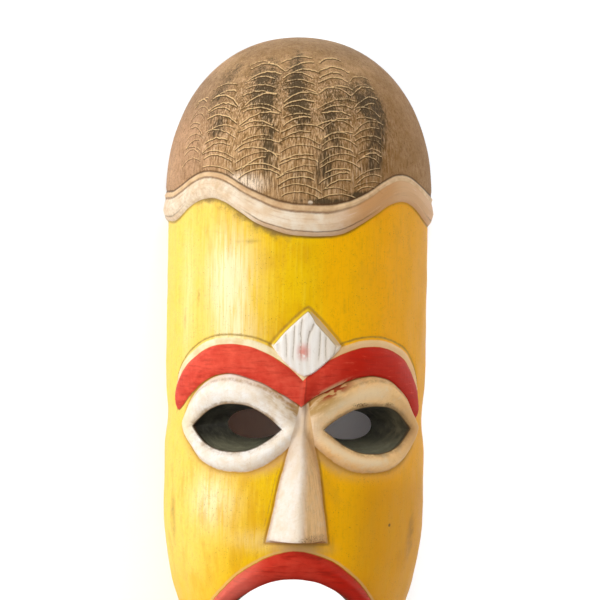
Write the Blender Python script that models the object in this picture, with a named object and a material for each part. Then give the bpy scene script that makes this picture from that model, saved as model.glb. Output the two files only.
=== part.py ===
"""A carved wooden face mask: one half-log block, hollowed behind, lying on its back rim.

Frame: metres, +Z up out of the face, +Y towards the crown, +X to the wearer's left.
The origin is the middle of the flat back rim. The carving is laid out on the block as on
unrolled paper: s runs round the block from the middle line, y runs along it.
"""

import math

import bmesh
import bpy
from mathutils import Vector

MM = 0.001

# The block, before any carving
LENGTH = 400 * MM
FACE_HALF_WIDTH = 76.8 * MM
FACE_DEPTH = 76 * MM
CHIN_TAPER = 123 * MM
CROWN_TAPER = 93 * MM
TEMPLE_HOLLOW = 1.8 * MM
TEMPLE_Y = -26 * MM
TEMPLE_REACH = 13 * MM
EYE_RECESS = 4 * MM
RECESS_Y = -36 * MM
RECESS_REACH = 24 * MM
WALL = 14 * MM

# The face leans a little on its block, as the carver left it
LEAN = math.tan(math.radians(2.0))
LEAN_PIVOT_Y = -120 * MM
FEATURE_SHIFT = 1.9 * MM

# The cap and the waved band along its edge
CAP_LIFT = 2.8 * MM
BAND_TROUGH_Y = 79.2 * MM
BAND_RISE = 21.6 * MM
BAND_CREST_S = 61 * MM
BAND_SIDE_DROP = 12 * MM
BAND_SIDE_REACH = 42 * MM
BAND_WIDTH = 14.2 * MM
BAND_HEIGHT = 1.5 * MM
BEAD_WIDTH = 4.2 * MM
BEAD_HEIGHT = 0.7 * MM
GROOVE_DEPTH = 0.9 * MM

# The brows, the left and the right one as the face is looked at
BROW_INNER_S = -2 * MM
BROW_PEAK_S = 43 * MM
BROW_PEAK_Y = 8 * MM
BROW_INNER_DROP = 19 * MM
BROW_OUTER_S = 92 * MM
BROW_OUTER_DROP = 27 * MM
BROW_HALF_WIDTH = 8.5 * MM
BROW_END_HALF_WIDTH = 5.8 * MM
LEFT_BROW_END_HALF_WIDTH = 8.2 * MM
RIGHT_BROW_DROOP = 4 * MM
BROW_HEIGHT = 3.2 * MM
BROW_BEAD_WIDTH = 5.2 * MM
BROW_BEAD_HEIGHT = 1.5 * MM

# The eyes: a pointed opening inside a broad rounded rim
EYE_S = 44.3 * MM
EYE_Y = -31.7 * MM
EYE_HALF_LENGTH = 31.7 * MM
EYE_HALF_HEIGHT = 14 * MM
EYE_BACK_LENGTH = 45 * MM
EYE_BACK_Y = -29.5 * MM
EYE_BACK_HALF_HEIGHT = 8.5 * MM
RIM_INNER_S = -1 * MM
RIM_OUTER_S = 88 * MM
RIM_BELOW = 25.5 * MM
RIM_HEIGHT = 5.2 * MM
RIM_EDGE_HEIGHT = 2.4 * MM
LEFT_EYE_SHORTENING = 4.2 * MM

# The nose
NOSE_TOP_Y = -16 * MM
NOSE_TIP_Y = -97 * MM
NOSE_TOP_HALF_WIDTH = 2.5 * MM
NOSE_TIP_HALF_WIDTH = 18.4 * MM
NOSE_TOP_HEIGHT = 2 * MM
NOSE_TIP_HEIGHT = 19 * MM
NOSE_TIP_CHAMFER = 1.5 * MM

# The leaf on the brow
LEAF_S = 1.1 * MM
LEAF_Y = 18.4 * MM
LEAF_HALF_WIDTH = 20.5 * MM
LEAF_HALF_HEIGHT = 19.6 * MM
LEAF_BEVEL = 3 * MM
LEAF_HEIGHT = 2.6 * MM
LEAF_BORDER_HEIGHT = 0.3 * MM

# The mouth: an arched opening inside raised lips
MOUTH_HALF_LENGTH = 58 * MM
MOUTH_TOP_Y = -117.5 * MM
MOUTH_ARCH_DROP = 37 * MM
MOUTH_OPENING = 21 * MM
MOUTH_BACK_INSET = 1.5 * MM
LIP_HALF_LENGTH = 73 * MM
LIP_TOP_Y = -101.8 * MM
LIP_ARCH_DROP = 43 * MM
LIP_BOTTOM_Y = -152.5 * MM
LIP_BOTTOM_DROP = 5 * MM
LIP_CORNER_Y = -149 * MM
ARCH_REACH = 90 * MM
LIP_HEIGHT = 6.5 * MM
LIP_EDGE_HEIGHT = 2.5 * MM
LIP_BORDER_HEIGHT = 0.3 * MM
LIP_CORNER_FADE = 0.45

# How the forms are bent, as bare shares and powers
CROWN_POWER = 2.15
CHIN_DEPTH_POWER = 3.0
LENS_POWER = 2.3
ARCH_POWER = 1.9
WAVE_POWER = 1.28
BAND_NARROWING = 0.16
MOUTH_BACK_SPREAD = 1.25
CORNER_POWER = 12
NOSE_POWER = 1.8

# The short way along the block over which its slope is taken
NORMAL_STEP = 0.01 * MM

# How far a joined piece is sunk into the block, and how far a cutter passes a face
SINK = 5 * MM
CLEAR = 6 * MM

# How finely the solids are faceted
SKIN_COLUMNS = 44
FACE_ROWS = 30
CAP_ROWS = 12
HOLLOW_COLUMNS = 22
HOLLOW_ROWS = 22
OUTLINE_SIDES = 32
BROW_STATIONS = 20
NOSE_STATIONS = 9

CROWN_Y = LENGTH / 2 - CAP_LIFT
CHIN_Y = -LENGTH / 2
HOLLOW_LENGTHWISE = 1 - WALL / CROWN_Y


# The block's surface

def bell(distance, reach):
    return math.exp(-((distance / reach) ** 2))


def taper(y, power):
    """How much of the full section is left towards the crown or the chin, from 1 to 0."""
    past_crown = (y - (CROWN_Y - CROWN_TAPER)) / CROWN_TAPER
    past_chin = (CHIN_Y + CHIN_TAPER - y) / CHIN_TAPER
    if past_crown > 0:
        return (1 - min(past_crown, 1) ** CROWN_POWER) ** (1 / CROWN_POWER)
    if past_chin > 0:
        return (1 - min(past_chin, 1) ** power) ** 0.5
    return 1.0


def half_width(y):
    return (FACE_HALF_WIDTH - TEMPLE_HOLLOW * bell(y - TEMPLE_Y, TEMPLE_REACH)) * taper(y, 2)


def depth(y):
    recess = EYE_RECESS * bell(y - RECESS_Y, RECESS_REACH)
    return (FACE_DEPTH - recess) * taper(y, CHIN_DEPTH_POWER)


def block(angle, y):
    """The point of the bare block at an angle round from the middle line."""
    return Vector((half_width(y) * math.sin(angle), y, depth(y) * math.cos(angle)))


def block_normal(angle, y):
    round_it = Vector((half_width(y) * math.cos(angle), 0, -depth(y) * math.sin(angle)))
    along = block(angle, y + NORMAL_STEP) - block(angle, y - NORMAL_STEP)
    return round_it.cross(along).normalized()


def hollow(angle, y):
    """The point of the hollow behind the face: the block again, smaller by one wall."""
    whole = block(angle, y / HOLLOW_LENGTHWISE)
    across = 1 - WALL / FACE_HALF_WIDTH
    down = 1 - WALL / FACE_DEPTH
    return Vector((whole.x * across, y, whole.z * down))


def lay(s, y, lift):
    """The point at s round and y along the block, raised by lift."""
    angle = s / FACE_HALF_WIDTH
    return block(angle, y) + block_normal(angle, y) * lift


def lean(s, y, shift=0.0):
    """Moves a place in the upright face to where the leaning face has it."""
    return s + LEAN * (y - LEAN_PIVOT_Y) + shift


# Curves of the carving

def band_edge(s):
    """The y of the band's lower edge, which dips over the forehead."""
    s = abs(s - LEAN * (BAND_TROUGH_Y - LEAN_PIVOT_Y))
    if s < BAND_CREST_S:
        return BAND_TROUGH_Y + BAND_RISE * rise(s / BAND_CREST_S, WAVE_POWER)
    beyond = min((s - BAND_CREST_S) / BAND_SIDE_REACH, 1)
    return BAND_TROUGH_Y + BAND_RISE - BAND_SIDE_DROP * rise(beyond, 1)


def band_share(edge_y):
    """How much of its full width the band has, narrowing towards its crests."""
    return 1 - BAND_NARROWING * (edge_y - BAND_TROUGH_Y) / BAND_RISE


def rise(share, power):
    """A smooth step from 0 to 1."""
    return (1 - math.cos(math.pi * share ** power)) / 2


def brow_line(s, hand):
    """The y of the brow's middle line at s from the face's axis. hand is 1 right, -1 left."""
    if s < BROW_PEAK_S:
        share = (BROW_PEAK_S - s) / BROW_PEAK_S
        return BROW_PEAK_Y - BROW_INNER_DROP * share ** ARCH_POWER
    share = (s - BROW_PEAK_S) / (BROW_OUTER_S - BROW_PEAK_S)
    drop = BROW_OUTER_DROP + (RIGHT_BROW_DROOP if hand > 0 else 0)
    return BROW_PEAK_Y - drop * share ** ARCH_POWER


def brow_half_width(s, hand):
    middle = BROW_OUTER_S / 2
    end = LEFT_BROW_END_HALF_WIDTH if hand < 0 and s > middle else BROW_END_HALF_WIDTH
    return BROW_HALF_WIDTH - (BROW_HALF_WIDTH - end) * min(abs(s - middle) / middle, 1) ** 3


def brow_slope(s, hand):
    return (brow_line(s + MM, hand) - brow_line(s - MM, hand)) / (2 * MM)


def brow_lower_edge(s, hand):
    return brow_line(s, hand) - brow_half_width(s, hand) * math.hypot(1, brow_slope(s, hand))


def eye_cut(hand):
    """How much nearer the nose an eye ends than the right one does."""
    return LEFT_EYE_SHORTENING if hand < 0 else 0


def lens(share):
    """A pointed oval's half height, from 1 in the middle to 0 at its ends."""
    return 1 - abs(share) ** LENS_POWER


def corner(share):
    """Nearly 1 along an outline's side, and 0 where its two sides meet."""
    return (1 - abs(share) ** CORNER_POWER) ** 0.5


def outline(top, bottom, points):
    """Places round a closed outline from its two sides, each a function of -1 to 1."""
    places = []
    for i in range(points):
        turn = 2 * math.pi * i / points
        share = max(-1.0, min(1.0, math.cos(turn)))
        places.append((top if i < points / 2 else bottom)(share))
    return places


def eye_opening(share, side, hand):
    """side is 1 over the eye and -1 under it."""
    middle = EYE_S - eye_cut(hand) / 2
    half = EYE_HALF_LENGTH - eye_cut(hand) / 2
    return middle + half * share, EYE_Y + side * EYE_HALF_HEIGHT * lens(share)


def eye_back(share, side):
    inner = EYE_S - EYE_HALF_LENGTH
    s = inner + EYE_BACK_LENGTH * (1 + share) / 2
    return s, EYE_BACK_Y + side * EYE_BACK_HALF_HEIGHT * (1 - share ** 2) ** 0.5


def rim_outer(share, side, hand):
    outer = RIM_OUTER_S - eye_cut(hand)
    s = (RIM_INNER_S + outer) / 2 + (outer - RIM_INNER_S) / 2 * share
    if side > 0:
        return s, EYE_Y + (brow_lower_edge(s, hand) - EYE_Y) * corner(share)
    return s, EYE_Y - RIM_BELOW * lens(share)


def mouth_arch(s, top_y, drop):
    return top_y - drop * rise(abs(s) / ARCH_REACH, 1)


def mouth_opening(share, side, inset=0.0):
    half = MOUTH_HALF_LENGTH - 2 * inset
    ends_y = mouth_arch(half, MOUTH_TOP_Y, MOUTH_ARCH_DROP) - inset / 2
    if side > 0:
        return half * share, mouth_arch(half * share, MOUTH_TOP_Y, MOUTH_ARCH_DROP) - inset / 2
    middle_y = MOUTH_TOP_Y - MOUTH_OPENING + inset / 2
    return half * share, ends_y + (middle_y - ends_y) * (1 - share ** 2)


def mouth_back(share, side):
    """The mouth from behind, spread round the block so that its walls run straight back."""
    s, y = mouth_opening(share, side, MOUTH_BACK_INSET)
    return s * MOUTH_BACK_SPREAD, y


def lip_outer(share, side):
    s = LIP_HALF_LENGTH * share
    if side > 0:
        y = mouth_arch(s, LIP_TOP_Y, LIP_ARCH_DROP)
    else:
        y = LIP_BOTTOM_Y - LIP_BOTTOM_DROP * share ** 2
    return s, LIP_CORNER_Y + (y - LIP_CORNER_Y) * corner(share)


def sided(curve, side, *more):
    return lambda share: curve(share, side, *more)


def both_sides(curve, points, *more):
    return outline(sided(curve, 1, *more), sided(curve, -1, *more), points)


# Mesh helpers

def ladder(row):
    """Rungs across a closed outline, from its upper side to its lower side."""
    count = len(row)
    for i in range(count // 2):
        yield [row[i], row[i + 1], row[count - i - 1], row[(count - i) % count]]


def close_end(bm, row, end):
    if end == "flat":
        bm.faces.new(row)
    elif end == "ladder":
        for rung in ladder(row):
            bm.faces.new(list(dict.fromkeys(rung)))
    else:
        tip = bm.verts.new(end)
        for i in range(len(row)):
            bm.faces.new((row[i], row[(i + 1) % len(row)], tip))


def loft(name, rings, ends=("flat", "flat")):
    """A closed mesh through rings of points. An end is flat, a ladder or a single tip."""
    bm = bmesh.new()
    rows = [[bm.verts.new(point) for point in ring] for ring in rings]
    count = len(rows[0])
    for low, high in zip(rows, rows[1:]):
        for i in range(count):
            j = (i + 1) % count
            bm.faces.new((low[i], low[j], high[j], high[i]))
    close_end(bm, rows[0], ends[0])
    close_end(bm, rows[-1], ends[1])
    bmesh.ops.recalc_face_normals(bm, faces=bm.faces)
    if bm.calc_volume(signed=True) < 0:
        bmesh.ops.reverse_faces(bm, faces=bm.faces)
    mesh = bpy.data.meshes.new(name)
    bm.to_mesh(mesh)
    bm.free()
    return bpy.data.objects.new(name, mesh)


def boolean(target, tool, operation):
    modifier = target.modifiers.new(f"{operation.lower()} {tool.name}", "BOOLEAN")
    modifier.operation = operation
    modifier.solver = "EXACT"
    modifier.object = tool


# The solids

def angles(columns):
    return [math.pi * (i / columns - 0.5) for i in range(columns + 1)]


def eased(share):
    """Rows crowd together towards a tip, where the section closes fast."""
    return 1 - math.cos(share * math.pi / 2)


def band_profile():
    """The cap's edge from the forehead upwards: distance above the band's edge, and lift."""
    top = BAND_WIDTH
    bead = BAND_WIDTH + BEAD_WIDTH
    return [
        (0.0, 0.0),
        (0.0, CAP_LIFT * 0.6),
        (BAND_WIDTH * 0.2, CAP_LIFT + BAND_HEIGHT * 0.7),
        (BAND_WIDTH * 0.5, CAP_LIFT + BAND_HEIGHT),
        (BAND_WIDTH * 0.85, CAP_LIFT + BAND_HEIGHT * 0.7),
        (top, CAP_LIFT - GROOVE_DEPTH),
        (top + BEAD_WIDTH * 0.5, CAP_LIFT + BEAD_HEIGHT),
        (bead, CAP_LIFT - GROOVE_DEPTH),
        (bead + BEAD_WIDTH * 0.6, CAP_LIFT),
    ]


def make_block():
    """The half log with its cap: rows of points from the chin to the crown."""
    columns = angles(SKIN_COLUMNS)
    edge = [band_edge(angle * FACE_HALF_WIDTH) for angle in columns]
    rows = []
    for r in range(1, FACE_ROWS):
        share = eased(r / FACE_ROWS)
        rows.append([(CHIN_Y + (edge_y - CHIN_Y) * share, 0.0) for edge_y in edge])
    for above, lift in band_profile():
        rows.append([(edge_y + above * band_share(edge_y), lift) for edge_y in edge])
    start = rows[-1]
    for r in range(1, CAP_ROWS):
        share = 1 - eased(1 - r / CAP_ROWS)
        rows.append([(y + (CROWN_Y - y) * share, lift) for y, lift in start])
    rings = []
    for row in rows:
        places = zip(columns, row)
        rings.append([block(a, y) + block_normal(a, y) * lift for a, (y, lift) in places])
    chin = (0, CHIN_Y, 0)
    crown = (0, CROWN_Y + CAP_LIFT, 0)
    return loft("mask", rings, (chin, crown))


def make_hollow():
    """The cutter for the hollow behind the face, one wall inside the block."""
    rings = []
    chin_y = CHIN_Y * HOLLOW_LENGTHWISE
    crown_y = CROWN_Y * HOLLOW_LENGTHWISE
    for r in range(1, HOLLOW_ROWS):
        y = chin_y + (crown_y - chin_y) * rise(r / HOLLOW_ROWS, 1)
        round_it = angles(HOLLOW_COLUMNS)
        below = Vector((0, 0, -CLEAR))
        ring = [hollow(a, y) for a in round_it[1:-1]]
        legs = [hollow(round_it[-1], y) + below, hollow(round_it[0], y) + below]
        rings.append(ring + legs)
    return loft("hollow", rings, ((0, chin_y, -CLEAR), (0, crown_y, -CLEAR)))


def make_brow(hand):
    """A rounded brow with a narrow bead along its upper edge."""
    rings = []
    for i in range(BROW_STATIONS + 1):
        s = BROW_INNER_S + (BROW_OUTER_S - BROW_INNER_S) * i / BROW_STATIONS
        near_end = corner(i / BROW_STATIONS) if i else 1.0
        wide = brow_half_width(s, hand) * max(near_end, 0.35)
        bead = BROW_BEAD_WIDTH * max(near_end, 0.35)
        slope = brow_slope(s, hand)
        across = Vector((-slope, 1)).normalized()
        profile = [
            (-wide, -SINK), (-wide, 0.5 * BROW_HEIGHT), (-wide * 0.5, 0.9 * BROW_HEIGHT),
            (wide * 0.1, BROW_HEIGHT), (wide * 0.65, 0.8 * BROW_HEIGHT),
            (wide, 0.6 * BROW_BEAD_HEIGHT), (wide + bead * 0.5, BROW_BEAD_HEIGHT),
            (wide + bead, 0.1 * BROW_BEAD_HEIGHT), (wide + bead, -SINK),
        ]
        ring = []
        for off, lift in profile:
            place_s = s + across.x * off
            y = brow_line(s, hand) + across.y * off
            ring.append(lay(lean(hand * place_s, y), y, lift))
        rings.append(ring)
    return loft("brow", rings)


def make_pad(name, outer, inner, profile, hand=1, shift=0.0, fade=0.0):
    """A raised border from an outer outline to an inner one, filled across.
    profile lists (share of the way in, lift). fade is the height lost at the corners."""
    rings = []
    for share, lift in profile:
        ring = []
        for i, ((s0, y0), (s1, y1)) in enumerate(zip(outer, inner)):
            s = s0 + (s1 - s0) * share
            y = y0 + (y1 - y0) * share
            end = math.cos(2 * math.pi * i / len(outer)) ** 4
            ring.append(lay(lean(hand * s, y, shift), y, lift * (1 - fade * end)))
        rings.append(ring)
    return loft(name, rings, ("ladder", "ladder"))


def make_eye_rim(hand):
    profile = [
        (0.0, -SINK), (0.0, 0.0), (0.2, RIM_HEIGHT * 0.7), (0.5, RIM_HEIGHT),
        (0.75, RIM_HEIGHT * 0.85), (1.0, RIM_EDGE_HEIGHT),
    ]
    outer = both_sides(rim_outer, OUTLINE_SIDES, hand)
    inner = both_sides(eye_opening, OUTLINE_SIDES, hand)
    return make_pad("eye_rim", outer, inner, profile, hand, FEATURE_SHIFT)


def make_lips():
    profile = [
        (0.0, -SINK), (0.0, LIP_BORDER_HEIGHT), (0.15, LIP_HEIGHT * 0.6), (0.4, LIP_HEIGHT),
        (0.7, LIP_HEIGHT * 0.8), (1.0, LIP_EDGE_HEIGHT),
    ]
    outer = both_sides(lip_outer, OUTLINE_SIDES)
    inner = both_sides(mouth_opening, OUTLINE_SIDES)
    return make_pad("lips", outer, inner, profile, 1, FEATURE_SHIFT, LIP_CORNER_FADE)


def make_nose():
    """A wedge that widens and rises to a blunt tip."""
    across = [-1.0, -0.7, -0.35, 0.0, 0.35, 0.7, 1.0]
    rings = []
    for i in range(NOSE_STATIONS + 2):
        share = min(i / NOSE_STATIONS, 1)
        blunt = 0.86 if i > NOSE_STATIONS else 1.0
        y = NOSE_TOP_Y + (NOSE_TIP_Y - NOSE_TOP_Y) * share
        y += 0 if i > NOSE_STATIONS else NOSE_TIP_CHAMFER
        wide = NOSE_TOP_HALF_WIDTH + (NOSE_TIP_HALF_WIDTH - NOSE_TOP_HALF_WIDTH) * share
        high = NOSE_TOP_HEIGHT + (NOSE_TIP_HEIGHT - NOSE_TOP_HEIGHT) * share
        ring = []
        for u in across:
            lift = high * blunt * (1 - abs(u) ** NOSE_POWER)
            ring.append(lay(lean(u * wide * blunt, y, FEATURE_SHIFT), y, lift))
        for u in (1, -1):
            ring.append(lay(lean(u * wide * 0.8, y, FEATURE_SHIFT), y, -SINK))
        rings.append(ring)
    return loft("nose", rings)


def make_leaf():
    """The pointed leaf over the nose, a pad with bevelled sides."""
    def places(inset):
        wide = LEAF_HALF_WIDTH - inset
        high = LEAF_HALF_HEIGHT - inset
        top = lambda u: (LEAF_S + wide * u, LEAF_Y + high * (1 - abs(u) ** 1.15))
        bottom = lambda u: (LEAF_S + wide * u, LEAF_Y - high * (1 - abs(u) ** 1.15))
        return outline(top, bottom, OUTLINE_SIDES)

    profile = [(0.0, -SINK), (0.0, LEAF_BORDER_HEIGHT), (1.0, LEAF_HEIGHT)]
    return make_pad("leaf", places(0), places(LEAF_BEVEL), profile)


def make_opening(name, front, back, hand, shift):
    """A cutter that goes straight in to the face, then slants through the wall."""
    rings = [[], [], [], []]
    for (s0, y0), (s1, y1) in zip(front, back):
        outside = lay(lean(hand * s0, y0, shift), y0, 0)
        inside = hollow(lean(hand * s1, y1, shift) / FACE_HALF_WIDTH, y1)
        rings[0].append(Vector((outside.x, outside.y, FACE_DEPTH + NOSE_TIP_HEIGHT + CLEAR)))
        rings[1].append(outside)
        rings[2].append(inside)
        rings[3].append(Vector((inside.x, inside.y, CLEAR)))
    return loft(name, rings, ("ladder", "ladder"))


def make_eye_opening(hand):
    front = both_sides(eye_opening, OUTLINE_SIDES, hand)
    back = both_sides(eye_back, OUTLINE_SIDES)
    return make_opening("eye_opening", front, back, hand, FEATURE_SHIFT)


def make_mouth_opening():
    front = both_sides(mouth_opening, OUTLINE_SIDES)
    back = both_sides(mouth_back, OUTLINE_SIDES)
    return make_opening("mouth_opening", front, back, 1, FEATURE_SHIFT)


def painted_wood():
    material = bpy.data.materials.new("painted_wood")
    material.use_nodes = True
    shader = material.node_tree.nodes["Principled BSDF"]
    shader.inputs["Base Color"].default_value = (0.78, 0.52, 0.05, 1)
    shader.inputs["Roughness"].default_value = 0.5
    shader.inputs["Metallic"].default_value = 0.0
    return material


def main():
    for obj in list(bpy.data.objects):
        bpy.data.objects.remove(obj, do_unlink=True)
    shown = bpy.data.collections.new("face_mask")
    tools = bpy.data.collections.new("carving_tools")
    for collection in (shown, tools):
        bpy.context.scene.collection.children.link(collection)

    mask = make_block()
    shown.objects.link(mask)
    mask.data.materials.append(painted_wood())

    joined = [make_brow(1), make_brow(-1), make_leaf(), make_nose(), make_lips()]
    joined += [make_eye_rim(1), make_eye_rim(-1)]
    cut = [make_hollow(), make_eye_opening(1), make_eye_opening(-1), make_mouth_opening()]
    for tool in joined + cut:
        tools.objects.link(tool)
        tool.hide_render = True
        tool.display_type = "WIRE"
        boolean(mask, tool, "UNION" if tool in joined else "DIFFERENCE")


main()
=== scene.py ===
"""The looks of the carved and painted face mask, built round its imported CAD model.

One closed mesh stands for the CAD solid: the painted face, the walls of the three openings, the
flat back rim and the gouged hollow. The carving is laid out as on unrolled paper: s runs round the
block from the middle line and y along it. Everything here is in millimetres until the mesh is made.
"""

import math
from types import SimpleNamespace

import bmesh
import bpy
import numpy as np
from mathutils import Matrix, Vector
from mathutils.geometry import delaunay_2d_cdt


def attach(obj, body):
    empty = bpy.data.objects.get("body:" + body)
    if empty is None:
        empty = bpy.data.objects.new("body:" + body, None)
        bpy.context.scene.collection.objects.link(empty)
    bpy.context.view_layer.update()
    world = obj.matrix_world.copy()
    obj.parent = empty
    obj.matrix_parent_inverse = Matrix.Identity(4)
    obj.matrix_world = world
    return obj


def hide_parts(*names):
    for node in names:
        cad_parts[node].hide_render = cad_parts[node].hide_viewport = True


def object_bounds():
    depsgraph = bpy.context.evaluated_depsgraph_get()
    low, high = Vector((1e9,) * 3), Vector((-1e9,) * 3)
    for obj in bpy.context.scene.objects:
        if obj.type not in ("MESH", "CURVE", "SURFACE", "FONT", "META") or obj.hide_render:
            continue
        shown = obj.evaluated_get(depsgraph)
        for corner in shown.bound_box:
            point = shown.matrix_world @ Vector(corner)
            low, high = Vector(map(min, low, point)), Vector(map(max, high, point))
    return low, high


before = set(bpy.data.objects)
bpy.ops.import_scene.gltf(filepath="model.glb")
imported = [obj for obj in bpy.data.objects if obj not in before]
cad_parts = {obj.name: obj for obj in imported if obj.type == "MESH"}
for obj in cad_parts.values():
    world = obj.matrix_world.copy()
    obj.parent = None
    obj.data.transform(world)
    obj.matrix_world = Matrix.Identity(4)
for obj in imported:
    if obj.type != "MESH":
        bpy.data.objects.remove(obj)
cad_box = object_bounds()

# The block, before any carving
LENGTH = 400.0
FACE_HALF_WIDTH = 76.8
FACE_DEPTH = 76.0
CHIN_TAPER = 123.0
CROWN_TAPER = 93.0
TEMPLE_HOLLOW = 1.8
TEMPLE_Y = -26.0
TEMPLE_REACH = 13.0
EYE_RECESS = 4.0
RECESS_Y = -36.0
RECESS_REACH = 24.0
WALL = 14.0

# The face leans a little on its block, as the carver left it
LEAN = math.tan(math.radians(2.0))
LEAN_PIVOT_Y = -120.0
FEATURE_SHIFT = 1.9

# The cap and the waved band along its edge
CAP_LIFT = 2.8
BAND_TROUGH_Y = 79.2
BAND_RISE = 21.6
BAND_CREST_S = 61.0
BAND_SIDE_DROP = 12.0
BAND_SIDE_REACH = 42.0
BAND_WIDTH = 14.2
BAND_HEIGHT = 1.5
BEAD_WIDTH = 4.2
BEAD_HEIGHT = 0.7

# The brows, the left and the right one as the face is looked at
BROW_INNER_S = -2.0
BROW_PEAK_S = 43.0
BROW_PEAK_Y = 8.0
BROW_INNER_DROP = 19.0
BROW_OUTER_S = 92.0
BROW_OUTER_DROP = 27.0
BROW_HALF_WIDTH = 8.5
BROW_END_HALF_WIDTH = 5.8
LEFT_BROW_END_HALF_WIDTH = 8.2
RIGHT_BROW_DROOP = 4.0
BROW_HEIGHT = 3.2
BROW_BEAD_WIDTH = 5.2
BROW_BEAD_HEIGHT = 1.5
BROW_END_SHARE = 0.35

# The eyes: a pointed opening inside a broad rounded rim
EYE_S = 44.3
EYE_Y = -31.7
EYE_HALF_LENGTH = 31.7
EYE_HALF_HEIGHT = 14.0
EYE_BACK_LENGTH = 45.0
EYE_BACK_Y = -29.5
EYE_BACK_HALF_HEIGHT = 8.5
RIM_INNER_S = -1.0
RIM_OUTER_S = 88.0
RIM_BELOW = 25.5
RIM_HEIGHT = 5.2
RIM_EDGE_HEIGHT = 2.4
LEFT_EYE_SHORTENING = 4.2

# The nose
NOSE_TOP_Y = -16.0
NOSE_TIP_Y = -97.0
NOSE_TOP_HALF_WIDTH = 2.5
NOSE_TIP_HALF_WIDTH = 18.4
NOSE_TOP_HEIGHT = 2.0
NOSE_TIP_HEIGHT = 19.0
NOSE_TIP_CHAMFER = 1.5

# The leaf on the brow
LEAF_S = 1.1
LEAF_Y = 18.4
LEAF_HALF_WIDTH = 20.5
LEAF_HALF_HEIGHT = 19.6
LEAF_BEVEL = 3.0
LEAF_HEIGHT = 2.6
LEAF_WAIST_DROP = 1.9

# The mouth: an arched opening inside raised lips
MOUTH_HALF_LENGTH = 58.0
MOUTH_TOP_Y = -117.5
MOUTH_ARCH_DROP = 37.0
MOUTH_OPENING = 21.0
MOUTH_BACK_INSET = 1.5
LIP_HALF_LENGTH = 73.0
LIP_TOP_Y = -101.8
LIP_ARCH_DROP = 43.0
LIP_BOTTOM_Y = -152.5
LIP_BOTTOM_DROP = 5.0
LIP_CORNER_Y = -149.0
ARCH_REACH = 90.0
LIP_HEIGHT = 6.5
LIP_EDGE_HEIGHT = 2.5
LIP_BORDER_HEIGHT = 0.3
LIP_CORNER_FADE = 0.45

# How the forms are bent, as bare shares and powers
CROWN_POWER = 2.15
CHIN_DEPTH_POWER = 3.0
LENS_POWER = 2.3
ARCH_POWER = 1.9
WAVE_POWER = 1.28
BAND_NARROWING = 0.16
MOUTH_BACK_SPREAD = 1.25
CORNER_POWER = 12

CAP_START = BAND_WIDTH + BEAD_WIDTH
CROWN_Y = LENGTH / 2 - CAP_LIFT
CHIN_Y = -LENGTH / 2
HOLLOW_LENGTHWISE = 1 - WALL / CROWN_Y
HOLLOW_ACROSS = 1 - WALL / FACE_HALF_WIDTH
HOLLOW_DEEP = 1 - WALL / FACE_DEPTH
NORMAL_STEP = 0.01

# How finely the skin is meshed
FINE_STEP = 1.12
CAP_STEP = 1.6
PLAIN_STEP = 2.1
HOLLOW_STEP = 3.2
BORDER_STEP = 1.7
EYE_POINTS = 144
MOUTH_POINTS = 192
WALL_RINGS = 5
SKIN_HALF_WIDTH = 120

# The least gap between points, as a share of their step, and between points in a row
FINE_GAP = 0.68
CLOSE_GAP = 0.72
HOLLOW_GAP = 0.7
ROW_GAP = 0.36

# Rows of points follow the band at these heights over its lower edge
BAND_ROWS = (
    -0.25, 0.1, 0.5, 1.1, 2.3, 2.9, 3.5, 12.8, 13.7, 14.3, 14.9, 16.3, 17.6, 18.4, 19.0, 20.4, -1.0,
)

# Incised arcs of the cap: column middle and width in degrees, lowest and highest y, strength
ARC_COLUMNS = [
    (-54.0, 12.0, 122.0, 158.0, 0.8),
    (-38.0, 17.5, 118.0, 164.0, 1.0),
    (-18.7, 18.6, 112.0, 177.0, 1.0),
    (-0.4, 18.0, 101.0, 180.0, 1.0),
    (16.2, 17.0, 100.0, 176.0, 1.0),
    (31.0, 14.5, 105.0, 168.0, 0.8),
]
ARC_SPACING = 3.6
ARC_RISE = 4.3
CAP_AXIS_TURN = 1.0
RIDGE_REACH = 0.5
FURROW_REACH = 0.6
FLUTES = 9

# Low relief: what stands proud, and what is cut in along the foot of each form
BRIDGE_HEIGHT = 2.6
RIDGE_HEIGHT = 0.22
FURROW_DEPTH = 0.26
FLUTE_DEPTH = 0.4
RIM_CREASE = 0.45
NOSE_CREASE = 0.55
LEAF_CREASE = 0.5
LIP_CREASE = 0.4
BEAD_CREASE = 0.35

# How far outside its edge a closed form is felt, and a distance past every edge
REACH_OUT = 10.0
FAR = 9.0

# The materials by their places on the mesh
PAINT, SOCKET, MOUTH, WOOD = range(4)
TINY = 1e-5
SHARP_ANGLE = 42.0
MILLIMETRES = 1000
WAVES = 14
quarter = math.pi / 2
rng = np.random.default_rng(11)


# The block's surface

def blend(a, b, round_off):
    """The greater of two heights, rounded where they meet."""
    near = np.clip(round_off - np.abs(a - b), 0, None) / round_off
    return np.maximum(a, b) + near * near * round_off / 4


def bell(distance, reach):
    return np.exp(-((distance / reach) ** 2))


def taper(y, power):
    """How much of the full section is left towards the crown or the chin, from 1 to 0."""
    past_crown = np.clip((y - CROWN_Y + CROWN_TAPER) / CROWN_TAPER, 0, 1)
    past_chin = np.clip((CHIN_Y + CHIN_TAPER - y) / CHIN_TAPER, 0, 1)
    crown = (1 - past_crown ** CROWN_POWER) ** (1 / CROWN_POWER)
    return crown * (1 - past_chin ** power) ** 0.5


def half_width(y):
    return (FACE_HALF_WIDTH - TEMPLE_HOLLOW * bell(y - TEMPLE_Y, TEMPLE_REACH)) * taper(y, 2)


def depth(y):
    recess = EYE_RECESS * bell(y - RECESS_Y, RECESS_REACH)
    return (FACE_DEPTH - recess) * taper(y, CHIN_DEPTH_POWER)


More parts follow.
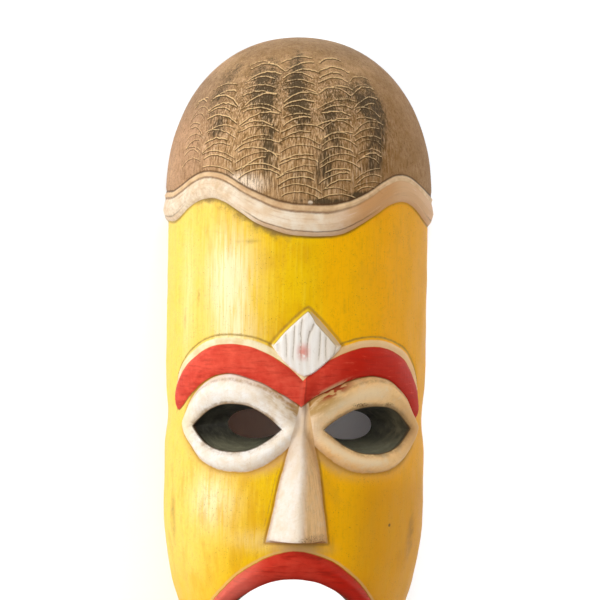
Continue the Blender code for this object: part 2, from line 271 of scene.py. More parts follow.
def block(angle, y):
    return np.stack((half_width(y) * np.sin(angle), y, depth(y) * np.cos(angle)), axis=-1)


def block_normal(angle, y):
    y = np.clip(y, CHIN_Y + 2 * NORMAL_STEP, CROWN_Y - 2 * NORMAL_STEP)
    round_it = np.stack((half_width(y) * np.cos(angle), 0 * y, -depth(y) * np.sin(angle)), axis=-1)
    normal = np.cross(round_it, block(angle, y + NORMAL_STEP) - block(angle, y - NORMAL_STEP))
    return normal / np.linalg.norm(normal, axis=-1, keepdims=True)


def hollow(angle, y):
    whole = block(angle, y / HOLLOW_LENGTHWISE)
    whole[..., 0] *= HOLLOW_ACROSS
    whole[..., 1] = y
    whole[..., 2] *= HOLLOW_DEEP
    return whole


def skin_radius(y):
    return (half_width(y) + depth(y)) / 2


def hollow_radius(y):
    y = y / HOLLOW_LENGTHWISE
    return (half_width(y) * HOLLOW_ACROSS + depth(y) * HOLLOW_DEEP) / 2


def pairs(s, y):
    return np.stack((s, y), -1)


def upright(s, y, shift=0.0):
    """Moves a place on the leaning face to where an upright face would have it."""
    return s - LEAN * (y - LEAN_PIVOT_Y) - shift


def on_face(places, hand, shift=FEATURE_SHIFT):
    """Upright places of one half, moved to where the leaning face has them."""
    s, y = places.T
    return pairs(hand * s + LEAN * (y - LEAN_PIVOT_Y) + shift, y)


# Curves of the carving

def rise(share, power):
    return (1 - np.cos(np.pi * share ** power)) / 2


def band_edge(s):
    """The y of the band's lower edge, which dips over the forehead."""
    s = np.abs(s - LEAN * (BAND_TROUGH_Y - LEAN_PIVOT_Y))
    up = BAND_RISE * rise(np.minimum(s / BAND_CREST_S, 1), WAVE_POWER)
    beyond = np.clip((s - BAND_CREST_S) / BAND_SIDE_REACH, 0, 1)
    return BAND_TROUGH_Y + up - BAND_SIDE_DROP * rise(beyond, 1)


def band_share(edge_y):
    return 1 - BAND_NARROWING * (edge_y - BAND_TROUGH_Y) / BAND_RISE


def brow_line(s, hand):
    """The y of the brow's middle line at s from the face's axis. hand is 1 right, -1 left."""
    inner = np.clip((BROW_PEAK_S - s) / BROW_PEAK_S, 0, None)
    outer = np.clip((s - BROW_PEAK_S) / (BROW_OUTER_S - BROW_PEAK_S), 0, None)
    outer_drop = BROW_OUTER_DROP + np.where(hand > 0, RIGHT_BROW_DROOP, 0.0)
    return BROW_PEAK_Y - BROW_INNER_DROP * inner ** ARCH_POWER - outer_drop * outer ** ARCH_POWER


def brow_half_width(s, hand):
    middle = BROW_OUTER_S / 2
    from_middle = np.minimum(np.abs(s - middle) / middle, 1)
    end = np.where((hand < 0) & (s > middle), LEFT_BROW_END_HALF_WIDTH, BROW_END_HALF_WIDTH)
    return BROW_HALF_WIDTH - (BROW_HALF_WIDTH - end) * from_middle ** 3


def brow_slope(s, hand):
    return (brow_line(s + 1, hand) - brow_line(s - 1, hand)) / 2


def eye_cut(hand):
    return LEFT_EYE_SHORTENING if hand < 0 else 0.0


def lens(share):
    return 1 - np.abs(share) ** LENS_POWER


def corner(share):
    return np.clip(1 - np.abs(share) ** CORNER_POWER, 0, 1) ** 0.5


def both_sides(curve, count, *more):
    """A closed outline of a curve's upper side and then its lower one."""
    share = np.cos(2 * np.pi * np.arange(count) / count)
    upper = (np.arange(count) < count / 2)[:, None]
    return np.where(upper, pairs(*curve(share, 1, *more)), pairs(*curve(share, -1, *more)))


def eye_opening(share, side, hand):
    middle = EYE_S - eye_cut(hand) / 2
    half = EYE_HALF_LENGTH - eye_cut(hand) / 2
    return middle + half * share, EYE_Y + side * EYE_HALF_HEIGHT * lens(share)


def eye_back(share, side):
    s = EYE_S - EYE_HALF_LENGTH + EYE_BACK_LENGTH * (1 + share) / 2
    return s, EYE_BACK_Y + side * EYE_BACK_HALF_HEIGHT * (1 - share ** 2) ** 0.5


def rim_outer(share, side, hand):
    outer = RIM_OUTER_S - eye_cut(hand)
    s = (RIM_INNER_S + outer) / 2 + (outer - RIM_INNER_S) / 2 * share
    if side < 0:
        return s, EYE_Y - RIM_BELOW * lens(share)
    brow_edge = brow_line(s, hand) - brow_half_width(s, hand) * np.hypot(1, brow_slope(s, hand))
    return s, EYE_Y + (brow_edge - EYE_Y) * corner(share)


def mouth_arch(s, top_y, drop):
    return top_y - drop * rise(np.abs(s) / ARCH_REACH, 1)


def mouth_opening(share, side, inset=0.0):
    half = MOUTH_HALF_LENGTH - 2 * inset
    ends_y = mouth_arch(half, MOUTH_TOP_Y, MOUTH_ARCH_DROP) - inset / 2
    if side > 0:
        return half * share, mouth_arch(half * share, MOUTH_TOP_Y, MOUTH_ARCH_DROP) - inset / 2
    middle_y = MOUTH_TOP_Y - MOUTH_OPENING + inset / 2
    return half * share, ends_y + (middle_y - ends_y) * (1 - share ** 2)


def mouth_back(share, side):
    s, y = mouth_opening(share, side, MOUTH_BACK_INSET)
    return s * MOUTH_BACK_SPREAD, y


def lip_outer(share, side):
    s = LIP_HALF_LENGTH * share
    if side > 0:
        y = mouth_arch(s, LIP_TOP_Y, LIP_ARCH_DROP)
    else:
        y = LIP_BOTTOM_Y - LIP_BOTTOM_DROP * share ** 2
    return s, LIP_CORNER_Y + (y - LIP_CORNER_Y) * corner(share)


def leaf_edge(share, side):
    """The leaf is widest a little below its middle, and its lower sides belly out."""
    power = 1.2 if side > 0 else 1.5
    high = LEAF_HALF_HEIGHT + side * LEAF_WAIST_DROP
    y = LEAF_Y - LEAF_WAIST_DROP + side * high * (1 - np.abs(share) ** power)
    return LEAF_S + LEAF_HALF_WIDTH * share, y


EYE_FRONT = {hand: both_sides(eye_opening, EYE_POINTS, hand) for hand in (1, -1)}
EYE_BACK = both_sides(eye_back, EYE_POINTS)
MOUTH_FRONT = both_sides(mouth_opening, MOUTH_POINTS)
MOUTH_BACK = both_sides(mouth_back, MOUTH_POINTS)
RIM_EDGE = {hand: both_sides(rim_outer, 200, hand) for hand in (1, -1)}
LIP_EDGE = both_sides(lip_outer, 220)
LEAF_EDGE = both_sides(leaf_edge, 80)


def cap_arcs():
    """Short ∩ strokes in columns down the cap, as lists of (s, y) places, with a strength."""
    arcs = []
    for middle, width, low, high, strength in ARC_COLUMNS:
        count = int((high - low) / ARC_SPACING)
        start = rng.uniform(-1.5, 1.5)
        for i in range(count + 1):
            base = low + start + (high - low) * i / count + rng.uniform(-0.8, 0.8)
            half = math.radians(width) / 2 * rng.uniform(0.96, 1.2)
            across = np.linspace(-1 + rng.uniform(0, 0.3), 1 - rng.uniform(0, 0.6), 13)
            peak = rng.uniform(-0.25, 0.35)
            y = base + ARC_RISE * rng.uniform(0.7, 1.3) * (1 - np.abs(across - peak) ** 2.0)
            y = y + rng.uniform(-0.9, 0.9) * across + rng.normal(0, 0.16, len(across))
            widen = taper(y, 2) ** -0.55
            turn = math.radians(middle + CAP_AXIS_TURN) + half * across
            s = FACE_HALF_WIDTH * turn * widen
            arcs.append((pairs(s, y), strength * rng.uniform(0.65, 1.0)))
    return arcs


ARCS = cap_arcs()


# Distances from the curves

def reach(places, edge):
    """How far each place lies inside a closed outline, negative outside it."""
    nearest = np.full(len(places), np.inf)
    within = np.zeros(len(places), dtype=bool)
    x, y = places[:, 0], places[:, 1]
    for (ax, ay), (bx, by) in zip(edge, np.roll(edge, -1, axis=0)):
        dx, dy = bx - ax, by - ay
        length = dx * dx + dy * dy
        if length < 1e-12:
            continue
        along = np.clip(((x - ax) * dx + (y - ay) * dy) / length, 0, 1)
        gap = (x - ax - along * dx) ** 2 + (y - ay - along * dy) ** 2
        nearest = np.minimum(nearest, gap)
        if ay != by:
            within ^= ((ay > y) != (by > y)) & (x < ax + (y - ay) * dx / dy)
    return np.where(within, 1, -1) * np.sqrt(nearest)


def near_box(s, y, edge, margin):
    low, high = edge.min(axis=0) - margin, edge.max(axis=0) + margin
    return (s > low[0]) & (s < high[0]) & (y > low[1]) & (y < high[1])


def reach_near(s, y, edge, margin=REACH_OUT):
    """reach, worked out only round the outline's own box."""
    depth_in = np.full(len(s), -margin)
    near = near_box(s, y, edge, margin)
    if near.any():
        depth_in[near] = reach(pairs(s[near], y[near]), edge)
    return np.maximum(depth_in, -margin)


def arc_field(s, y):
    """How far each place is on the ridge of an arc, and in the furrow under it, from 0 to 1."""
    ridge, furrow = np.zeros((2, len(s)))
    for places, strength in ARCS:
        near = np.flatnonzero(near_box(s, y, places, 2))
        if not len(near):
            continue
        best, below = np.full((2, len(near)), FAR)
        for (ax, ay), (bx, by) in zip(places[:-1], places[1:]):
            dx, dy = bx - ax, by - ay
            length = dx * dx + dy * dy
            px, py = s[near] - ax, y[near] - ay
            along = np.clip((px * dx + py * dy) / length, 0, 1)
            gap = np.hypot(px - along * dx, py - along * dy)
            side = (px * dy - py * dx) / math.sqrt(length)
            below = np.where(gap < best, side, below)
            best = np.minimum(best, gap)
        ridge[near] = np.maximum(ridge[near], strength * np.clip(1 - best / RIDGE_REACH, 0, 1))
        dark = np.clip(1 - np.abs(below - FURROW_REACH) / FURROW_REACH, 0, 1) * (best < 1.3)
        furrow[near] = np.maximum(furrow[near], strength * dark)
    return ridge, furrow


def across_rim(rim, opening):
    """How far across a rim a place lies, from 0 at its outer edge to 1 at its opening."""
    return np.clip(rim / np.maximum(rim + np.maximum(opening, 0), 1e-6), 0, 1)


def nose_half_width(down):
    return NOSE_TOP_HALF_WIDTH + (NOSE_TIP_HALF_WIDTH - NOSE_TOP_HALF_WIDTH) * down


def fields(s, y):
    """Where each place lies in the carving: distances in mm, positive inside a form."""
    f = SimpleNamespace(s=s, y=y)
    edge = band_edge(s)
    f.band = (y - edge) / band_share(edge)
    f.dip = 1 - np.clip((edge - BAND_TROUGH_Y) / BAND_RISE, 0, 1)

    brow_s = upright(s, y)
    hand, side = np.sign(brow_s), np.abs(brow_s)
    off = (y - brow_line(side, hand)) / np.hypot(1, brow_slope(side, hand))
    end = np.clip((side - BROW_INNER_S) / (BROW_OUTER_S - BROW_INNER_S), 0, 1)
    narrow = np.maximum(corner(end), BROW_END_SHARE)
    wide = brow_half_width(side, hand) * narrow
    bead = BROW_BEAD_WIDTH * narrow
    to_end = BROW_OUTER_S - side
    f.brow = np.minimum(wide - np.abs(off), to_end)
    f.bead = np.minimum(np.minimum(off - wide, wide + bead - off), to_end)
    f.brow_off = off / wide
    f.brow_wide = wide
    f.brow_bead = bead
    f.brow_outer = np.minimum(np.minimum(wide + bead - off, off + wide), to_end)

    face_s = upright(s, y, FEATURE_SHIFT)
    f.rim, f.eye, f.rim_share = (np.full(len(s), start) for start in (-REACH_OUT, REACH_OUT, 0.0))
    for hand in (1, -1):
        rim = reach_near(hand * face_s, y, RIM_EDGE[hand])
        eye = -reach_near(hand * face_s, y, EYE_FRONT[hand], margin=40.0)
        f.rim_share = np.where(rim > f.rim, across_rim(rim, eye), f.rim_share)
        f.rim = np.maximum(rim, f.rim)
        f.eye = np.minimum(f.eye, eye)

    down = np.clip((NOSE_TOP_Y - y) / (NOSE_TOP_Y - NOSE_TIP_Y), 0, 1)
    f.nose_wide = nose_half_width(down)
    f.nose_high = NOSE_TOP_HEIGHT + (NOSE_TIP_HEIGHT - NOSE_TOP_HEIGHT) * down
    f.face_s = face_s
    beside = f.nose_wide - np.abs(face_s)
    f.nose = np.clip(np.minimum(np.minimum(beside, y - NOSE_TIP_Y), NOSE_TOP_Y - y), -REACH_OUT, 20)
    f.leaf = reach_near(brow_s, y, LEAF_EDGE)
    fan = (brow_s - LEAF_S) * (1 + 0.006 * (LEAF_Y - y)) / (2 * LEAF_HALF_WIDTH / FLUTES)
    f.flute = fan + 0.25 * wander(s * 1.6, y * 0.5, 16, 31)

    f.lip = reach_near(face_s, y, LIP_EDGE)
    f.mouth = -reach_near(face_s, y, MOUTH_FRONT, margin=30.0)
    f.lip_share = across_rim(f.lip, f.mouth)
    f.ridge, f.furrow = arc_field(s, y)
    return f


# The relief

def eased_profile(points, blur):
    """A smooth curve through (place, height) points, as a function."""
    x = np.linspace(points[0][0] - 1, points[-1][0] + 1, 3001)
    spread = int(blur / (x[1] - x[0])) + 1
    kernel = np.hanning(2 * spread + 1)
    padded = np.pad(np.interp(x, *zip(*points)), spread, mode="edge")
    heights = np.convolve(padded, kernel / kernel.sum(), mode="valid")
    return lambda places: np.interp(places, x, heights)


def step_up(distance, run):
    share = np.clip(distance / run, 0, 1)
    return share * share * (3 - 2 * share)


def wander(s, y, size, seed):
    """A slow unevenness from about -1 to 1, like the marks of a hand tool."""
    pick = np.random.default_rng(seed)
    total = 0
    for _ in range(WAVES):
        turn = pick.uniform(0, 2 * math.pi)
        wave = 2 * math.pi / (size * pick.uniform(0.6, 1.7))
        total = total + np.sin(wave * (s * math.cos(turn) + y * math.sin(turn)) + pick.uniform(0, 6.3))
    return total / math.sqrt(WAVES * 2)


BAND_PROFILE = eased_profile([
    (-0.25, 0.0), (0.25, CAP_LIFT * 0.62), (2.4, CAP_LIFT + 0.25), (2.9, CAP_LIFT - 0.15),
    (3.6, CAP_LIFT + 0.5), (BAND_WIDTH * 0.5, CAP_LIFT + BAND_HEIGHT),
    (BAND_WIDTH * 0.85, CAP_LIFT + 0.6), (BAND_WIDTH - 0.3, CAP_LIFT + 0.05),
    (BAND_WIDTH + 0.5, CAP_LIFT + 0.1), (BAND_WIDTH + BEAD_WIDTH * 0.5, CAP_LIFT + BEAD_HEIGHT),
    (CAP_START - 0.4, CAP_LIFT - 0.4), (CAP_START + 0.3, CAP_LIFT - 0.5),
    (BAND_WIDTH + BEAD_WIDTH * 1.7, CAP_LIFT),
], 0.45)
RIM_PROFILE = eased_profile([
    (0.0, 0.0), (0.06, RIM_HEIGHT * 0.35), (0.3, RIM_HEIGHT * 0.85), (0.5, RIM_HEIGHT),
    (0.75, RIM_HEIGHT * 0.85), (1.0, RIM_EDGE_HEIGHT),
], 0.07)
LIP_PROFILE = eased_profile([
    (0.0, LIP_BORDER_HEIGHT), (0.15, LIP_HEIGHT * 0.6), (0.42, LIP_HEIGHT), (0.7, LIP_HEIGHT * 0.8),
    (1.0, LIP_EDGE_HEIGHT),
], 0.08)
BROW_PROFILE = eased_profile([
    (-1.05, 0.0), (-0.95, BROW_HEIGHT * 0.55), (-0.5, BROW_HEIGHT * 0.92), (0.1, BROW_HEIGHT),
    (0.65, BROW_HEIGHT * 0.8), (1.0, BROW_BEAD_HEIGHT * 0.55),
], 0.1)
BEAD_PROFILE = eased_profile([
    (0.0, BROW_BEAD_HEIGHT * 0.55), (0.5, BROW_BEAD_HEIGHT), (0.95, BROW_BEAD_HEIGHT * 0.15), (1.05, 0.0),
], 0.12)


def relief(f):
    """The height of the carving over the bare block at each place."""
    band = BAND_PROFILE(f.band)
    single = CAP_LIFT + (BAND_HEIGHT + 0.3) * 0.6
    band = band + bell(f.band - 2.9, 0.7) * (1 - f.dip) * 0.4 * (band < single)

    above = (f.brow_off - 1) * f.brow_wide / f.brow_bead
    brow = np.where(f.brow_off < 1, BROW_PROFILE(f.brow_off), BEAD_PROFILE(above))
    brow = brow * step_up(BROW_OUTER_S - np.abs(upright(f.s, f.y)) + 1, 4)

    rim = np.where(f.rim > 0, RIM_PROFILE(f.rim_share), 0)
    lip = np.where(f.lip > 0, LIP_PROFILE(f.lip_share), 0)
    lip = lip * (1 - LIP_CORNER_FADE * (np.abs(f.face_s) / LIP_HALF_LENGTH).clip(0, 1) ** 4)

    share = np.clip(np.abs(f.face_s) / f.nose_wide, 0, 1)
    tip = step_up(f.y - NOSE_TIP_Y, NOSE_TIP_CHAMFER * 1.3) * 0.9 + 0.1
    top = step_up(NOSE_TOP_Y + 3 - f.y, 8)
    nose = f.nose_high * (1 - share ** 1.45) * np.where(f.y > NOSE_TIP_Y, tip, 0) * top

    flutes = -np.clip(-np.cos(2 * np.pi * f.flute), 0, 1) ** 1.5
    upper = step_up(f.y - LEAF_Y + LEAF_WAIST_DROP + 2, 4)
    bevel = 1.0 + (LEAF_BEVEL - 1.0) * upper
    leaf = LEAF_HEIGHT * step_up(f.leaf, bevel)
    fluted = step_up(f.y - 5, 8) * step_up(f.s + 14, 5)
    leaf = leaf + FLUTE_DEPTH * flutes * fluted * step_up(f.leaf - 0.3 - 2.2 * upper, 1.2)
    leaf = np.where(f.leaf > 0, leaf, 0)

    bridge = BRIDGE_HEIGHT * bell(f.face_s, 9) * bell(f.y + 31, 12)
    middle = blend(blend(rim, nose, 2.5), bridge, 2.0)
    lift = np.maximum.reduce([middle, lip, leaf, np.where(f.band < -2, brow, 0), band])
    apart = step_up(np.abs(f.face_s) - 8, 4)
    lift = lift - RIM_CREASE * bell(f.rim + 0.1, 0.8) * (f.nose < -1) * (f.brow < 0.5) * apart
    lift = lift - NOSE_CREASE * bell(f.nose + 0.5, 0.8) * step_up(-50 - f.y, 8) * (f.eye > 3)
    lift = lift - LEAF_CREASE * bell(f.leaf + 0.3, 0.6)
    lift = lift - LIP_CREASE * bell(f.lip + 0.3, 0.7)
    lift = lift - BEAD_CREASE * bell(f.brow_outer + 0.4, 0.6) * (f.brow_off > 0) * (f.leaf < 0)
    lift = lift + RIDGE_HEIGHT * f.ridge - FURROW_DEPTH * f.furrow

    # The unevenness left by the tool, greatest where nothing is carved
    plain = step_up(-f.band - 2, 6)
    hand = wander(f.s, f.y, 26, 3) * 0.22 + wander(f.s, f.y, 9, 4) * 0.07
    hand = hand * step_up(CROWN_Y - np.abs(f.y) - 3, 30)
    return lift + hand * (0.35 + 0.65 * plain)


# Where the paint is stained, worn or dirty, and where painted sheen lies: s, y, half width, half height,
# strength
STAINS = [
    (-3, 167, 7.5, 19, 1.3), (2, 150, 5, 13, 0.7), (-29, 167, 12, 15, 1.0), (-21, 150, 6, 18, 0.7),
    (20, 144, 8, 19, 0.8), (15, 118, 5, 10, 0.8), (-17, 126, 4, 14, 1.0), (-60, 176, 16, 8, 0.5),
    (52, 152, 10, 19, 1.0), (45, 125, 7, 16, 0.8), (-62, 160, 6, 11, 0.8), (-53, 142, 8, 9, 0.8),
    (38, 103.2, 10, 2.8, 1.8), (16, 99.5, 16, 1.9, 1.3), (0, 132, 40, 36, 0.15), (36, 160, 14, 10, 0.6),
    (-68, 122, 7, 16, 0.35), (72, 128, 6, 14, 0.35), (-78, 150, 8, 16, 0.3), (4, 112, 12, 6, 0.4),
]
# Painted sheen and highlights on the forehead, cap and cheeks, with some pale worn paint
SHEEN_AND_WEAR = [
    (-41, 56, 15, 29, 1.1), (-36, 20, 14, 16, 0.6), (-34, 109, 15, 6, 1.2), (-60, 106, 8, 8, 0.4),
    (-50, -74, 15, 15, 0.8), (-74, 40, 6, 45, 0.3), (-20, -96, 18, 6, 0.3),
]
GRIME = [
    (-76, 30, 2.2, 10, 0.8), (-64, 44, 1.5, 7, 1.1), (-84, 44, 4, 12, 0.6), (-88, -85, 6, 22, 0.9),
    (-80, -118, 8, 14, 0.6), (86, -95, 8, 24, 0.9), (74, -108, 7, 9, 0.55), (58, -92, 6, 9, 0.3),
    (28, 40, 1.8, 9, 0.9), (62, 52, 1.5, 12, 0.8), (-28, 76, 14, 2.6, 0.8), (-50, 82, 12, 2.5, 0.6),
    (8, -97.5, 14, 2.0, 0.7), (12, -93.5, 8, 2.6, 1.0), (78, 0, 3, 12, 0.4), (24, -40, 6, 6, 0.9),
    (62, -62, 12, 3, 0.4),
]


# The flat patterns that the skins are meshed on

class Pattern:
    """A half-round skin rolled flat: x runs round it and y along it, true to size."""

    def __init__(self, low, high, radius):
        turn = np.linspace(-quarter, quarter, 4001)
        self.y = (low + high) / 2 + (high - low) / 2 * np.sin(turn)
        self.radius = radius(self.y)
        self.radius[[0, -1]] = 0.0
        run = np.hypot(np.diff(self.y), np.diff(self.radius))
        self.along = np.concatenate(([0.0], np.cumsum(run)))

    def radius_at(self, along):
        return np.interp(along, self.along, self.radius)

    def flatten(self, angle, y):
        return pairs(angle * np.interp(y, self.y, self.radius), np.interp(y, self.y, self.along))

    def roll(self, places):
        x, along = places.T
        angle = np.clip(x / np.maximum(self.radius_at(along), 1e-6), -quarter, quarter)
        return angle, np.interp(along, self.along, self.y)

    def border(self, step):
        """The edge of the pattern, up the left side and down the right."""
        along = np.linspace(0, self.along[-1], int(self.along[-1] / step) + 1)
        wide = quarter * self.radius_at(along)
        return np.vstack((pairs(-wide, along), pairs(wide, along)[::-1][1:-1]))

    def holds(self, places, room):
        x, along = places.T
        inside = (along > room) & (along < self.along[-1] - room)
        return inside & (np.abs(x) < quarter * self.radius_at(along) - room)


def honeycomb(pattern, step):
    width = quarter * pattern.radius.max()
    rows = []
    for i, y in enumerate(np.arange(0, pattern.along[-1], step * 0.866)):
        x = np.arange(-width, width, step) + (i % 2) * step / 2
        rows.append(pairs(x, np.full(len(x), y)))
    places = np.vstack(rows)
    return places[pattern.holds(places, step * 0.6)]


def thinned(fixed, sets):
    """Places taken in order from (places, gap) sets, none nearer than its gap to one before."""
    cells = {}
    kept = []
    for x, y in fixed:
        cells.setdefault((x // 1, y // 1), []).append((x, y))
    for places, gap in sets:
        span = range(-math.ceil(gap), math.ceil(gap) + 1)
        around = [(i, j) for i in span for j in span]
        for x, y in places.tolist():
            for i, j in around:
                others = cells.get((x // 1 + i, y // 1 + j), ())
                if any((x - a) ** 2 + (y - b) ** 2 < gap * gap for a, b in others):
                    break
            else:
                cells.setdefault((x // 1, y // 1), []).append((x, y))
                kept.append((x, y))
    return np.array(kept)


def rows_beside(line, offsets, step, closed=True):
    """Rows of places at offsets to the left of a line."""
    if closed:
        line = np.vstack((line, line[:1]))
    run = np.concatenate(([0.0], np.cumsum(np.hypot(*np.diff(line, axis=0).T))))
    at = np.arange(0, run[-1], step)

    def along(at):
        return pairs(np.interp(at, run, line[:, 0]), np.interp(at, run, line[:, 1]))

    dx, dy = (along(np.minimum(at + 0.4, run[-1])) - along(np.maximum(at - 0.4, 0))).T
    left = pairs(-dy, dx) / np.hypot(dx, dy)[:, None]
    return np.vstack([along(at) + left * off for off in offsets])


def feature_rows():
    """Rows of places that follow the edges of the carving."""
    rows = [rows_beside(places, (0.0, -0.6, 0.5, -1.15), 1.05, closed=False) for places, _ in ARCS]

    def add(edge, offsets, step, hand=1, shift=FEATURE_SHIFT):
        rows.append(on_face(rows_beside(edge, offsets, step), hand, shift))

    widest = SKIN_HALF_WIDTH - 2
    s = np.arange(-widest, widest, 1.1)
    edge = band_edge(s)
    rows += [pairs(s, edge + above * band_share(edge)) for above in BAND_ROWS]
    side = np.arange(0, BROW_OUTER_S + 0.9, 0.9)
    narrow = np.maximum(corner(side / BROW_OUTER_S), BROW_END_SHARE)
    for hand in (1, -1):
        wide = brow_half_width(side, hand) * narrow
        slant = np.hypot(1, brow_slope(side, hand))
        for base in (-wide, wide, wide + BROW_BEAD_WIDTH * narrow):
            for off in (-0.45, 0.0, 0.45, -1.0, 1.0):
                row = pairs(side, brow_line(side, hand) + (base + off) * slant)
                rows.append(on_face(row, hand, 0))
        add(RIM_EDGE[hand], (0.1, -0.5, 0.6, -1.2, 1.4), 1.0, hand)
        add(EYE_FRONT[hand], (-0.7, -1.5), 1.1, hand)
    down = np.linspace(0, 1, 80)
    nose_y = NOSE_TOP_Y + (NOSE_TIP_Y - NOSE_TOP_Y) * down
    for off in (0.2, -0.5, 0.9, -1.2):
        row = pairs(nose_half_width(down) - off, nose_y)
        rows += [on_face(row, hand) for hand in (1, -1)]
    across = np.arange(-NOSE_TIP_HALF_WIDTH, NOSE_TIP_HALF_WIDTH, 0.9)
    for off in (0.0, 0.6, 1.2, 1.9, -0.6):
        row = pairs(across, np.full(len(across), NOSE_TIP_Y + off))
        rows.append(on_face(row, 1))
    add(LEAF_EDGE, (0.1, -0.6, 0.7, 1.6, 2.6), 0.9, shift=0)
    add(LIP_EDGE, (0.1, -0.6, 0.7, 1.5), 1.1)
    add(MOUTH_FRONT, (-0.7, -1.5), 1.2)
    return np.vstack(rows)


# The right eye, the left eye and the mouth on the leaning face, in front and behind
FRONT_LOOPS = [on_face(EYE_FRONT[1], 1), on_face(EYE_FRONT[-1], -1), on_face(MOUTH_FRONT, 1)]
BACK_LOOPS = [on_face(EYE_BACK, 1), on_face(EYE_BACK, -1), on_face(MOUTH_BACK, 1)]


def triangulate(loops, free, wanted):
    """Triangles over loops and free places in a plane. Also gives each loop's new numbers."""
    places = np.vstack([*loops, free]) if len(free) else np.vstack(loops)
    edges, start = [], 0
    for loop in loops:
        ring = range(start, start + len(loop))
        edges += zip(ring, (*ring[1:], start))
        start += len(loop)
    points = [Vector(place) for place in places.tolist()]
    out, _, faces, origins, _, _ = delaunay_2d_cdt(points, edges, [], 0, TINY)
    out = np.array(out)
    faces = np.array(faces)
    (ax, ay), (bx, by) = (out[faces[:, 1]] - out[faces[:, 0]]).T, (out[faces[:, 2]] - out[faces[:, 0]]).T
    faces = faces[np.abs(ax * by - ay * bx) > TINY]
    faces = faces[wanted(out[faces].mean(axis=1))]
    used = np.unique(faces)
    fresh = np.full(len(out), -1)
    fresh[used] = np.arange(len(used))
    number = np.full(len(places), -1)
    for i, names in enumerate(origins):
        for name in names:
            number[name] = fresh[i]
    rings = np.split(number, np.cumsum([len(loop) for loop in loops]))[:-1]
    return out[used], fresh[faces], rings


def mesh_skin(low, high, radius, holes, step, fill, gap):
    """A skin's angles, heights, triangles and four loops. fill gives its free places in sets."""
    pattern = Pattern(low, high, radius)
    border = pattern.border(step)
    holes = [pattern.flatten(hole[:, 0] / FACE_HALF_WIDTH, hole[:, 1]) for hole in holes]

    def clear(places, room):
        keep = np.ones(len(places), dtype=bool)
        for hole in holes:
            keep &= reach_near(places[:, 0], places[:, 1], hole, margin=2.0) < -room
        return keep

    free = thinned(np.vstack((border, *holes)), fill(pattern))
    free = free[clear(free, gap)]
    flat, faces, rings = triangulate(
        [border, *holes], free, lambda middles: pattern.holds(middles, 0) & clear(middles, 0)
    )
    angle, y = pattern.roll(flat)
    angle[rings[0]] = np.where(angle[rings[0]] > 0, quarter, -quarter)
    return angle, y, faces, rings


def face_fill(pattern):
    """Rows along the carving first, then honeycombs: fine on the carving, coarser elsewhere."""
    lines = feature_rows()
    lines = lines[(np.abs(lines[:, 0]) < SKIN_HALF_WIDTH) & (lines[:, 1] < CROWN_Y - 2)]
    lines = pattern.flatten(lines[:, 0] / FACE_HALF_WIDTH, lines[:, 1])
    fine = honeycomb(pattern, FINE_STEP)
    angle, y = pattern.roll(fine)
    f = fields(angle * FACE_HALF_WIDTH, y)
    carved = (f.rim > -2) | (f.lip > -2) | (f.nose > -2.5) | (f.leaf > -2)
    carved |= (f.brow_outer > -2) | ((f.band > -1.5) & (f.band < 22))
    cap = honeycomb(pattern, CAP_STEP)
    cap = cap[pattern.roll(cap)[1] > BAND_TROUGH_Y + 24]
    return [
        (lines[pattern.holds(lines, 0.8)], ROW_GAP),
        (fine[carved], FINE_STEP * FINE_GAP),
        (cap, CAP_STEP * CLOSE_GAP),
        (honeycomb(pattern, PLAIN_STEP), PLAIN_STEP * CLOSE_GAP),
    ]


def hollow_fill(pattern):
    return [(honeycomb(pattern, HOLLOW_STEP), HOLLOW_STEP * HOLLOW_GAP)]


def face_skin():
    """The outer skin: places, what lies there, triangles and four loops."""
    angle, y, faces, rings = mesh_skin(
        CHIN_Y, CROWN_Y, skin_radius, FRONT_LOOPS, BORDER_STEP, face_fill, gap=0.3
    )
    s = angle * FACE_HALF_WIDTH
    f = fields(s, y)
    f.lift = relief(f)
    loose = step_up(quarter - np.abs(angle), 0.3) * step_up(CROWN_Y - np.abs(y), 30)
    drift, climb = (
        0.5 * wander(s, y, 36, seed) + 0.12 * wander(s, y, 12, seed + 1) for seed in (8, 12)
    )
    angle = angle + drift * loose / FACE_HALF_WIDTH
    y = y + climb * loose
    places = block(angle, y) + block_normal(angle, y) * f.lift[:, None]
    places[rings[0], 2] = 0.0
    return places, f, faces, rings


def hollow_skin():
    """The hollow behind the face, with the marks of the gouge."""
    angle, y, faces, rings = mesh_skin(
        CHIN_Y * HOLLOW_LENGTHWISE, CROWN_Y * HOLLOW_LENGTHWISE, hollow_radius,
        BACK_LOOPS, BORDER_STEP * 1.5, hollow_fill, gap=1.2,
    )
    gouge = 0.5 * wander(angle * FACE_HALF_WIDTH, y * 0.45, 12, 21) + 0.3 * wander(angle * 60, y, 60, 22)
    gouge[np.concatenate(rings)] = 0
    places = hollow(angle, y) - block_normal(angle, y / HOLLOW_LENGTHWISE) * gouge[:, None]
    places[rings[0], 2] = 0.0
    return places, faces, rings


def wall_rings(front, back, bare):
    """Rings from an opening's edge on the bare block to its back edge, a little uneven."""
    rings = []
    out = front - front.mean(axis=0)
    out[:, 2] = 0
    out /= np.linalg.norm(out, axis=1, keepdims=True)
    turn = np.linspace(0, 2 * math.pi, len(front), endpoint=False)
    for k in range(WALL_RINGS):
        share = k / WALL_RINGS
        ring = bare + (back - bare) * share
        marks = sum(np.sin(n * turn + rng.uniform(0, 6.3)) for n in (5, 8, 13, 21)) / 4
        rings.append(ring + out * (marks * 0.35 * min(k, 1))[:, None])
    return rings


